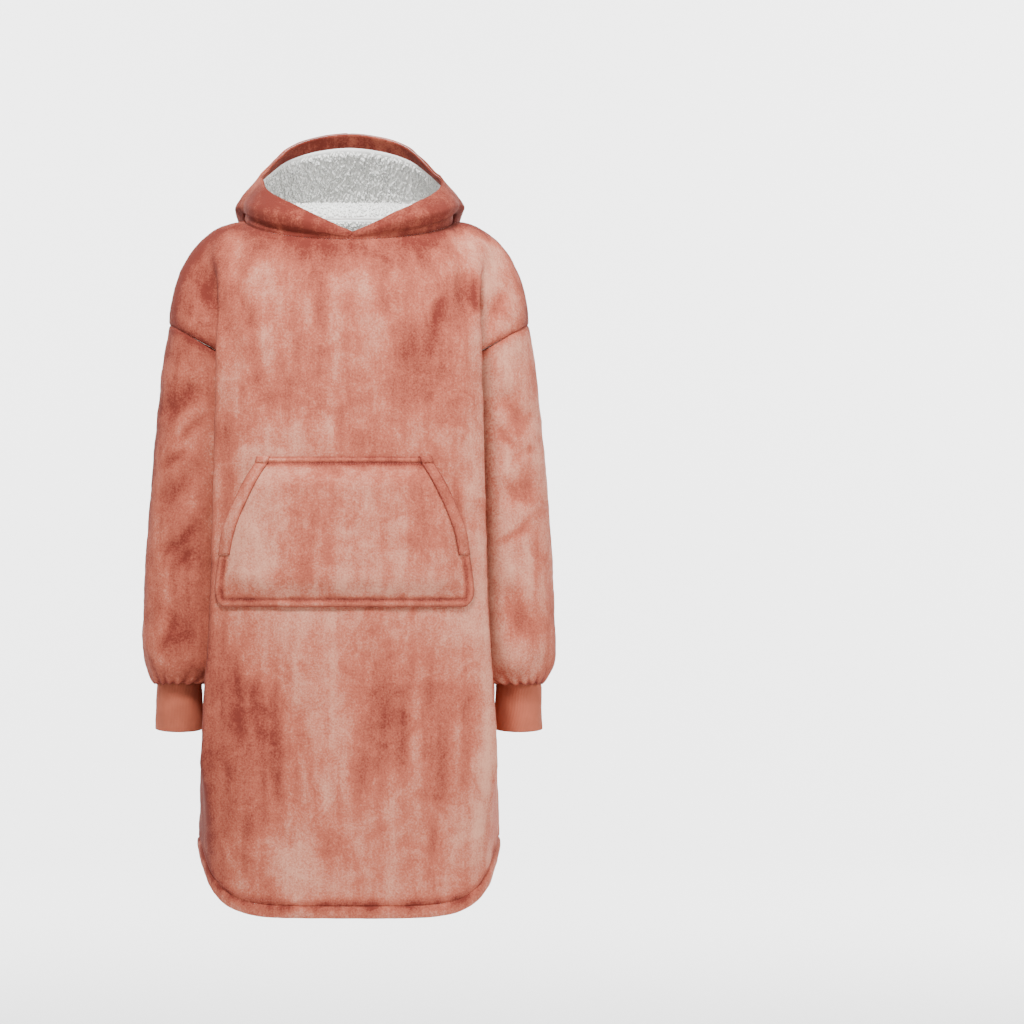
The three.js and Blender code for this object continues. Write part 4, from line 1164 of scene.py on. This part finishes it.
def curl_tree():
    """Curls of plush standing close together on a surface, each a small stretched bead that leans down."""
    tree, given, result = geometry_group("Plush curls", [
        ("Density", "NodeSocketFloat", 60000.0),
        ("Length", "NodeSocketFloat", 0.007),
        ("Width", "NodeSocketFloat", 0.0035),
        ("Seed", "NodeSocketInt", 4),
        ("Material", "NodeSocketMaterial", None),
    ])
    spread = add_node(tree, "GeometryNodeDistributePointsOnFaces", {
        "Mesh": given["Geometry"], "Density": given["Density"], "Seed": given["Seed"]})
    bead = add_node(tree, "GeometryNodeMeshIcoSphere", {"Radius": 0.5, "Subdivisions": 1})
    size = add_node(tree, "ShaderNodeCombineXYZ", {"X": given["Width"], "Y": given["Width"], "Z": given["Length"]})
    vary = add_node(tree, "FunctionNodeRandomValue", {"Seed": given["Seed"]}, data_type="FLOAT_VECTOR")
    vary.inputs[0].default_value = (0.6, 0.6, 0.5)
    vary.inputs[1].default_value = (1.3, 1.2, 1.4)
    scale = add_node(tree, "ShaderNodeVectorMath", operation="MULTIPLY")
    tree.links.new(size.outputs[0], scale.inputs[0])
    tree.links.new(vary.outputs[0], scale.inputs[1])
    down = add_node(tree, "ShaderNodeCombineXYZ", {"X": 0.0, "Y": 0.0, "Z": -1.0})
    wander = add_node(tree, "FunctionNodeRandomValue", {"Seed": 9}, data_type="FLOAT_VECTOR")
    wander.inputs[0].default_value = (-0.6, -0.4, -0.3)
    wander.inputs[1].default_value = (0.6, 0.4, 0.3)
    lean = add_node(tree, "ShaderNodeVectorMath", operation="ADD")
    tree.links.new(down.outputs[0], lean.inputs[0])
    tree.links.new(wander.outputs[0], lean.inputs[1])
    turn = add_node(tree, "FunctionNodeAlignRotationToVector", {"Vector": lean.outputs[0]}, axis="Z")
    put = add_node(tree, "GeometryNodeInstanceOnPoints", {
        "Points": spread.outputs["Points"], "Instance": bead.outputs["Mesh"],
        "Rotation": turn.outputs[0], "Scale": scale.outputs[0]})
    real = add_node(tree, "GeometryNodeRealizeInstances", {"Geometry": put.outputs[0]})
    soft = add_node(tree, "GeometryNodeSetShadeSmooth", {"Geometry": real.outputs[0]})
    dressed = add_node(tree, "GeometryNodeSetMaterial", {"Geometry": soft.outputs[0], "Material": given["Material"]})
    tree.links.new(dressed.outputs[0], result["Geometry"])
    arrange(tree)
    return tree


def stitch_tree():
    """Stitches in a row along a line, each a short bead of thread."""
    tree, given, result = geometry_group("Stitches", [
        ("Stitch", "NodeSocketFloat", 0.0032),
        ("Gap share", "NodeSocketFloat", 0.72),
        ("Thread", "NodeSocketFloat", 0.0006),
        ("Material", "NodeSocketMaterial", None),
    ])
    line = add_node(tree, "GeometryNodeMeshToCurve", {"Mesh": given["Geometry"]})
    even = add_node(tree, "GeometryNodeResampleCurve", {"Curve": line.outputs[0]}, mode="LENGTH")
    tree.links.new(given["Stitch"], even.inputs["Length"])
    along = tree.nodes.new("GeometryNodeInputTangent")
    turn = add_node(tree, "FunctionNodeAlignRotationToVector", {"Vector": along.outputs[0]}, axis="Z")
    bead = add_node(tree, "GeometryNodeMeshIcoSphere", {"Radius": 0.5, "Subdivisions": 1})
    long = add_node(tree, "ShaderNodeMath", operation="MULTIPLY")
    tree.links.new(given["Stitch"], long.inputs[0])
    tree.links.new(given["Gap share"], long.inputs[1])
    size = add_node(tree, "ShaderNodeCombineXYZ", {"X": given["Thread"], "Y": given["Thread"], "Z": long.outputs[0]})
    put = add_node(tree, "GeometryNodeInstanceOnPoints", {
        "Points": even.outputs[0], "Instance": bead.outputs["Mesh"], "Rotation": turn.outputs[0],
        "Scale": size.outputs[0]})
    real = add_node(tree, "GeometryNodeRealizeInstances", {"Geometry": put.outputs[0]})
    soft = add_node(tree, "GeometryNodeSetShadeSmooth", {"Geometry": real.outputs[0]})
    dressed = add_node(tree, "GeometryNodeSetMaterial", {"Geometry": soft.outputs[0], "Material": given["Material"]})
    tree.links.new(dressed.outputs[0], result["Geometry"])
    arrange(tree)
    return tree


def grow(name, source, tree_name, values):
    """Runs a geometry node tree on a mesh and keeps the result as a plain mesh."""
    tree = bpy.data.node_groups[tree_name]
    source.materials.append(values["Material"])
    base = bpy.data.objects.new(name + "_base", source)
    bpy.context.scene.collection.objects.link(base)
    modifier = base.modifiers.new("Grow", "NODES")
    modifier.node_group = tree
    identifiers = {
        item.name: item.identifier for item in tree.interface.items_tree if item.in_out == "INPUT"
    }
    for label, value in values.items():
        modifier[identifiers[label]] = value
    bpy.context.view_layer.update()
    evaluated = base.evaluated_get(bpy.context.evaluated_depsgraph_get())
    mesh = bpy.data.meshes.new_from_object(evaluated)
    mesh.name = name
    base.modifiers.clear()
    bpy.data.objects.remove(base)
    bpy.data.meshes.remove(source)
    made = bpy.data.objects.new(name, mesh)
    bpy.context.scene.collection.objects.link(made)
    return made


def lines_mesh(name, lines):
    """Open lines of places as loose edges."""
    vertices, edges = [], []
    for line in lines:
        start = len(vertices)
        vertices += [tuple(p * MM) for p in line]
        edges += [(start + k, start + k + 1) for k in range(len(line) - 1)]
    mesh = bpy.data.meshes.new(name)
    mesh.from_pydata(vertices, edges, [])
    return mesh


def surface_mesh(name, points):
    rows, columns = points.shape[:2]
    mesh = bpy.data.meshes.new(name)
    quads = grid_quads(rows, columns, False).reshape(-1, 4)
    mesh.from_pydata((points.reshape(-1, 3) * MM).tolist(), [], quads.tolist())
    mesh.update()
    return mesh


# The garment's cloth, worked out once for all pieces, because sewn pieces share their seams
CLOTH = {}


def work_out_cloth():
    if CLOTH:
        return CLOTH
    pieces = [
        panel_piece("front", "front"), panel_piece("back", "back"),
        binding_piece("hem_binding_front", "front"), binding_piece("hem_binding_back", "back"),
        sleeve_piece("sleeve_left", 1), sleeve_piece("sleeve_right", -1),
        cuff_piece("cuff_left", 1), cuff_piece("cuff_right", -1),
        hood_piece("hood_left", 0), hood_piece("hood_right", 180),
    ]
    face_normals(pieces)
    for piece in pieces:
        shape_cloth(piece)
    face_normals(pieces)
    CLOTH.update({piece["name"]: piece for piece in pieces})
    lined = HOOD_ROWS["unlined"]
    faced = lined + HOOD_ROWS["lined"]
    left, right = CLOTH["hood_left"], CLOTH["hood_right"]
    layers = [
        hood_layer("hood_lining", left, right, (lined, faced), in_mm(sizes().lining_wall), ("end",)),
        hood_layer("hood_facing", left, right, (faced, faced + HOOD_ROWS["faced"]),
                   in_mm(sizes().facing_wall), ("start",)),
    ]
    face_normals(layers)
    pocket = pocket_piece("pocket")
    face_normals([pocket])
    layers += [pocket, band_piece("pocket_band_left", pocket, 1), band_piece("pocket_band_right", pocket, -1)]
    CLOTH.update({piece["name"]: piece for piece in layers})
    return CLOTH


def material(name):
    return bpy.data.materials[name]


class HOODIE_OT_materials(bpy.types.Operator):
    """Makes the fleece, plush, knit and thread materials"""

    bl_idname = "hoodie.materials"
    bl_label = "Materials"

    def execute(self, context):
        pile_group()
        for make in (fleece_material, plush_material, rib_material, thread_material):
            make()
        curl_tree()
        stitch_tree()
        return {"FINISHED"}


class HOODIE_OT_body(bpy.types.Operator):
    """Makes the front and back panels and their hem bindings"""

    bl_idname = "hoodie.body"
    bl_label = "Body"

    def execute(self, context):
        cloth = work_out_cloth()
        for seed, name in enumerate(("front", "back")):
            lay_pile(cloth[name], seed + 1)
            made = settle(cloth_mesh(cloth[name], material("brushed_pile"), material("curly_plush")), name)
        for seed, name in enumerate(("hem_binding_front", "hem_binding_back")):
            lay_pile(cloth[name], seed + 5)
            made = settle(cloth_mesh(cloth[name], material("brushed_pile"), material("curly_plush")), name)
        return {"FINISHED"}


class HOODIE_OT_sleeves(bpy.types.Operator):
    """Makes the sleeves and their knitted cuffs"""

    bl_idname = "hoodie.sleeves"
    bl_label = "Sleeves"

    def execute(self, context):
        cloth = work_out_cloth()
        for seed, name in enumerate(("sleeve_left", "sleeve_right")):
            lay_pile(cloth[name], seed + 11)
            made = settle(cloth_mesh(cloth[name], material("brushed_pile"), material("curly_plush")), name)
        for seed, name in enumerate(("cuff_left", "cuff_right")):
            lay_pile(cloth[name], seed + 15)
            made = settle(cloth_mesh(cloth[name], material("cuff_knit"), material("cuff_knit")), name)
        return {"FINISHED"}


class HOODIE_OT_hood(bpy.types.Operator):
    """Makes the hood's halves, lining and facing"""

    bl_idname = "hoodie.hood"
    bl_label = "Hood"

    def execute(self, context):
        cloth = work_out_cloth()
        for seed, name in enumerate(("hood_left", "hood_right")):
            lay_pile(cloth[name], seed + 21)
            made = settle(cloth_mesh(cloth[name], material("brushed_pile"), material("curly_plush")), name)
        lining, facing = cloth["hood_lining"], cloth["hood_facing"]
        for piece in (lining, facing):
            shift = seam_shift(piece)
            piece["outer"] = piece["points"] + shift
            rough = 0.7 * uneven(piece["points"], 12, 31) if piece is lining else 0.3 * uneven(piece["points"], 18, 33)
            rough = rough * edge_mask(piece)
            piece["inner"] = piece["points"] + shift - piece["normals"] * (piece["wall"] + rough)[..., None]
        made = settle(cloth_mesh(lining, material("curly_plush"), material("curly_plush")), "hood_lining")
        facing["shade"] = np.full(facing["points"].shape[:2], FACING_SHADE)
        made = settle(cloth_mesh(facing, material("brushed_pile"), material("brushed_pile")), "hood_facing")
        return {"FINISHED"}


class HOODIE_OT_plush(bpy.types.Operator):
    """Grows the curls of the hood's plush lining"""

    bl_idname = "hoodie.plush"
    bl_label = "Plush curls"

    def execute(self, context):
        lining = work_out_cloth()["hood_lining"]
        surface = lining["inner"] - lining["normals"] * 0.4
        curls = grow("plush_curls", surface_mesh("curl_ground", surface[1:-1, 1:-1]), "Plush curls", {
            "Density": 80000.0, "Length": sizes().curl, "Width": sizes().curl * 0.36, "Seed": 4,
            "Material": material("curly_plush")})
        settle(curls, None)
        for side, name in (("left", "hood_left"), ("right", "hood_right")):
            half = work_out_cloth()[name]
            behind = np.abs(half["alphas"] - 180) <= CURLS_TO
            inside = half["inner"] - half["normals"] * SHORT_CURL_LIFT
            ground = inside[1:CURLED_ROWS][:, behind]
            curls = grow("plush_curls_" + side, surface_mesh("curl_ground", ground), "Plush curls", {
                "Density": 120000.0, "Length": sizes().short_curl, "Width": sizes().short_curl * 0.7, "Seed": 5,
                "Material": material("curly_plush")})
            settle(curls, None)
        back = work_out_cloth()["back"]
        inside = back["inner"] - back["normals"] * SHORT_CURL_LIFT
        collar = inside[-COLLAR_ROWS:-1, np.abs(across_stations()) < NECK_SHARE]
        curls = grow("plush_curls_back", surface_mesh("curl_ground", collar), "Plush curls", {
            "Density": 120000.0, "Length": sizes().short_curl, "Width": sizes().short_curl * 0.7, "Seed": 6,
            "Material": material("curly_plush")})
        settle(curls, None)
        return {"FINISHED"}


class HOODIE_OT_pocket(bpy.types.Operator):
    """Makes the pocket and the bands along its slanted openings"""

    bl_idname = "hoodie.pocket"
    bl_label = "Pocket"

    def execute(self, context):
        cloth = work_out_cloth()
        pocket = cloth["pocket"]
        near = np.minimum(pocket["from_end"], np.where(
            np.arange(len(pocket["z"]))[:, None] < np.argmin(np.abs(pocket["z"] - POCKET_MOUTH_Z)),
            pocket["from_side"], 1e3))
        # Painted shade in the pocket's stitch groove and along its edges, where it turns down to the body
        groove = np.exp(-(((near - STITCH_INSET) / 4) ** 2))
        pocket["shade"] = np.clip(0.9 * groove + 0.8 * np.exp(-((near / 2.5) ** 2)), 0, 1)
        rough = in_mm(sizes().pile_relief) * uneven(pocket["points"], 24, 41) * edge_mask(pocket)
        pocket["outer"] = pocket["points"] + pocket["normals"] * rough[..., None]
        made = settle(cloth_mesh(pocket, material("brushed_pile"), material("curly_plush")), "pocket")
        for name in ("pocket_band_left", "pocket_band_right"):
            band = cloth[name]
            count = band["points"].shape[1]
            share = np.abs(np.linspace(-1, 1, count))[None, :]
            # Painted shade: the bands are drawn darker towards their long edges
            band["shade"] = np.broadcast_to(0.2 + 0.6 * share ** 4, band["points"].shape[:2])
            band["outer"] = band["points"]
            made = settle(cloth_mesh(band, material("brushed_pile"), material("brushed_pile")), name)
        return {"FINISHED"}


class HOODIE_OT_stitches(bpy.types.Operator):
    """Sews the rows of stitches along the pocket, its bands and the hem"""

    bl_idname = "hoodie.stitches"
    bl_label = "Stitches"

    def execute(self, context):
        cloth = work_out_cloth()
        pocket = cloth["pocket"]
        inset = int(np.argmin(np.abs(pocket["z"] - pocket["z"][0] - STITCH_INSET)))
        lines = []
        for row in (inset, len(pocket["z"]) - 1 - inset):
            lines.append(pocket["outer"][row, 5:-5] + pocket["normals"][row, 5:-5] * 0.05)
        for name, side in (("pocket_band_left", 1), ("pocket_band_right", -1)):
            band = cloth[name]
            column = 1 if side > 0 else -2
            lines.append(band["points"][1:-1, column] + band["normals"][1:-1, column] * 0.05)
        front = cloth["front"]
        row = 2
        lines.append(front["outer"][row] + front["normals"][row] * 0.1)
        back = cloth["back"]
        lines.append(back["outer"][row] + back["normals"][row] * 0.1)
        made = grow("stitches", lines_mesh("stitch_lines", lines), "Stitches", {
            "Stitch": sizes().stitch_length, "Gap share": 0.72, "Thread": sizes().thread,
            "Material": material("sewing_thread")})
        settle(made, None)
        return {"FINISHED"}


class HOODIE_OT_stage(bpy.types.Operator):
    """Makes the floor, the lights and the camera"""

    bl_idname = "hoodie.stage"
    bl_label = "Stage"

    def execute(self, context):
        scene = context.scene
        floor_material, tree, shader = new_material("backdrop")
        shader.inputs["Base Color"].default_value = (*colours().floor, 1)
        shader.inputs["Roughness"].default_value = 0.95
        profile = [(-9.0, -1.35), (6.6, -1.35)]
        profile += [(6.6 + 1.4 * math.sin(a), -1.35 + 1.4 * (1 - math.cos(a))) for a in np.linspace(0, np.pi / 2, 24)[1:]]
        profile.append((8.0, 6.0))
        vertices = [(x, y, z) for y, z in profile for x in (-9.0, 9.0)]
        faces = [(2 * k, 2 * k + 1, 2 * k + 3, 2 * k + 2) for k in range(len(profile) - 1)]
        mesh = bpy.data.meshes.new("floor")
        mesh.from_pydata(vertices, [], faces)
        mesh.polygons.foreach_set("use_smooth", np.ones(len(faces), bool))
        mesh.materials.append(floor_material)
        floor = bpy.data.objects.new("floor", mesh)
        scene.collection.objects.link(floor)

        world = bpy.data.worlds.new("studio")
        world.use_nodes = True
        world.node_tree.nodes["Background"].inputs["Color"].default_value = (1, 1, 1, 1)
        world.node_tree.nodes["Background"].inputs["Strength"].default_value = 0.45
        scene.world = world

        def lamp(name, place, target, width, power, colour=(1, 1, 1)):
            light = bpy.data.lights.new(name, "AREA")
            light.size = width
            light.energy = power
            light.color = colour
            made = bpy.data.objects.new(name, light)
            made.location = place
            made.rotation_euler = (Vector(target) - Vector(place)).to_track_quat("-Z", "Y").to_euler()
            scene.collection.objects.link(made)

        lamp("key", (3.4, -1.9, 1.6), (0.0, 0, -0.4), 0.9, 142)
        lamp("fill", (-2.0, -4.0, 0.4), (0, 0, -0.4), 2.4, 28)
        lamp("top", (-0.3, -1.5, 1.7), (0, 0.1, 0.08), 0.6, 135)
        lamp("backdrop_left", (-4.0, 4.0, 2.2), (0, 8.0, 0), 3.0, 800)
        lamp("backdrop_right", (4.0, 4.0, 2.2), (0, 8.0, 0), 3.0, 800)

        camera = bpy.data.cameras.new("camera")
        distance, frame_width = 6.0, 1.362
        camera.sensor_width = 36
        camera.lens = camera.sensor_width * distance / frame_width
        camera.shift_x = 0.2168 / frame_width
        camera.clip_end = 60
        view = bpy.data.objects.new("camera", camera)
        view.location = (0, -distance, -0.386)
        view.rotation_euler = (math.pi / 2, 0, 0)
        scene.collection.objects.link(view)
        scene.camera = view
        return {"FINISHED"}


OPERATORS = (
    HOODIE_OT_materials, HOODIE_OT_body, HOODIE_OT_sleeves, HOODIE_OT_hood, HOODIE_OT_plush,
    HOODIE_OT_pocket, HOODIE_OT_stitches, HOODIE_OT_stage,
)


class HOODIE_PT_panel(bpy.types.Panel):
    """Lists the garment's sizes, colours and steps"""

    bl_idname = "HOODIE_PT_panel"
    bl_label = "Hooded blanket top"
    bl_space_type = "VIEW_3D"
    bl_region_type = "UI"
    bl_category = "Hoodie"

    def draw(self, context):
        for group in (context.scene.hoodie_sizes, context.scene.hoodie_colours):
            box = self.layout.box()
            for name in group.__annotations__:
                box.prop(group, name)
        for operator in OPERATORS:
            self.layout.operator(operator.bl_idname)


CLASSES = (HoodieSizes, HoodieColours, *OPERATORS, HOODIE_PT_panel)


def register():
    for cls in CLASSES:
        bpy.utils.register_class(cls)
    bpy.types.Scene.hoodie_sizes = bpy.props.PointerProperty(type=HoodieSizes)
    bpy.types.Scene.hoodie_colours = bpy.props.PointerProperty(type=HoodieColours)


def unregister():
    del bpy.types.Scene.hoodie_sizes
    del bpy.types.Scene.hoodie_colours
    for cls in reversed(CLASSES):
        bpy.utils.unregister_class(cls)


def main():
    register()
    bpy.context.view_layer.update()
    bpy.ops.hoodie.materials()
    bpy.ops.hoodie.body()
    bpy.ops.hoodie.sleeves()
    bpy.ops.hoodie.hood()
    bpy.ops.hoodie.plush()
    bpy.ops.hoodie.pocket()
    bpy.ops.hoodie.stitches()
    bpy.ops.hoodie.stage()


if __name__ == "__main__":
    main()
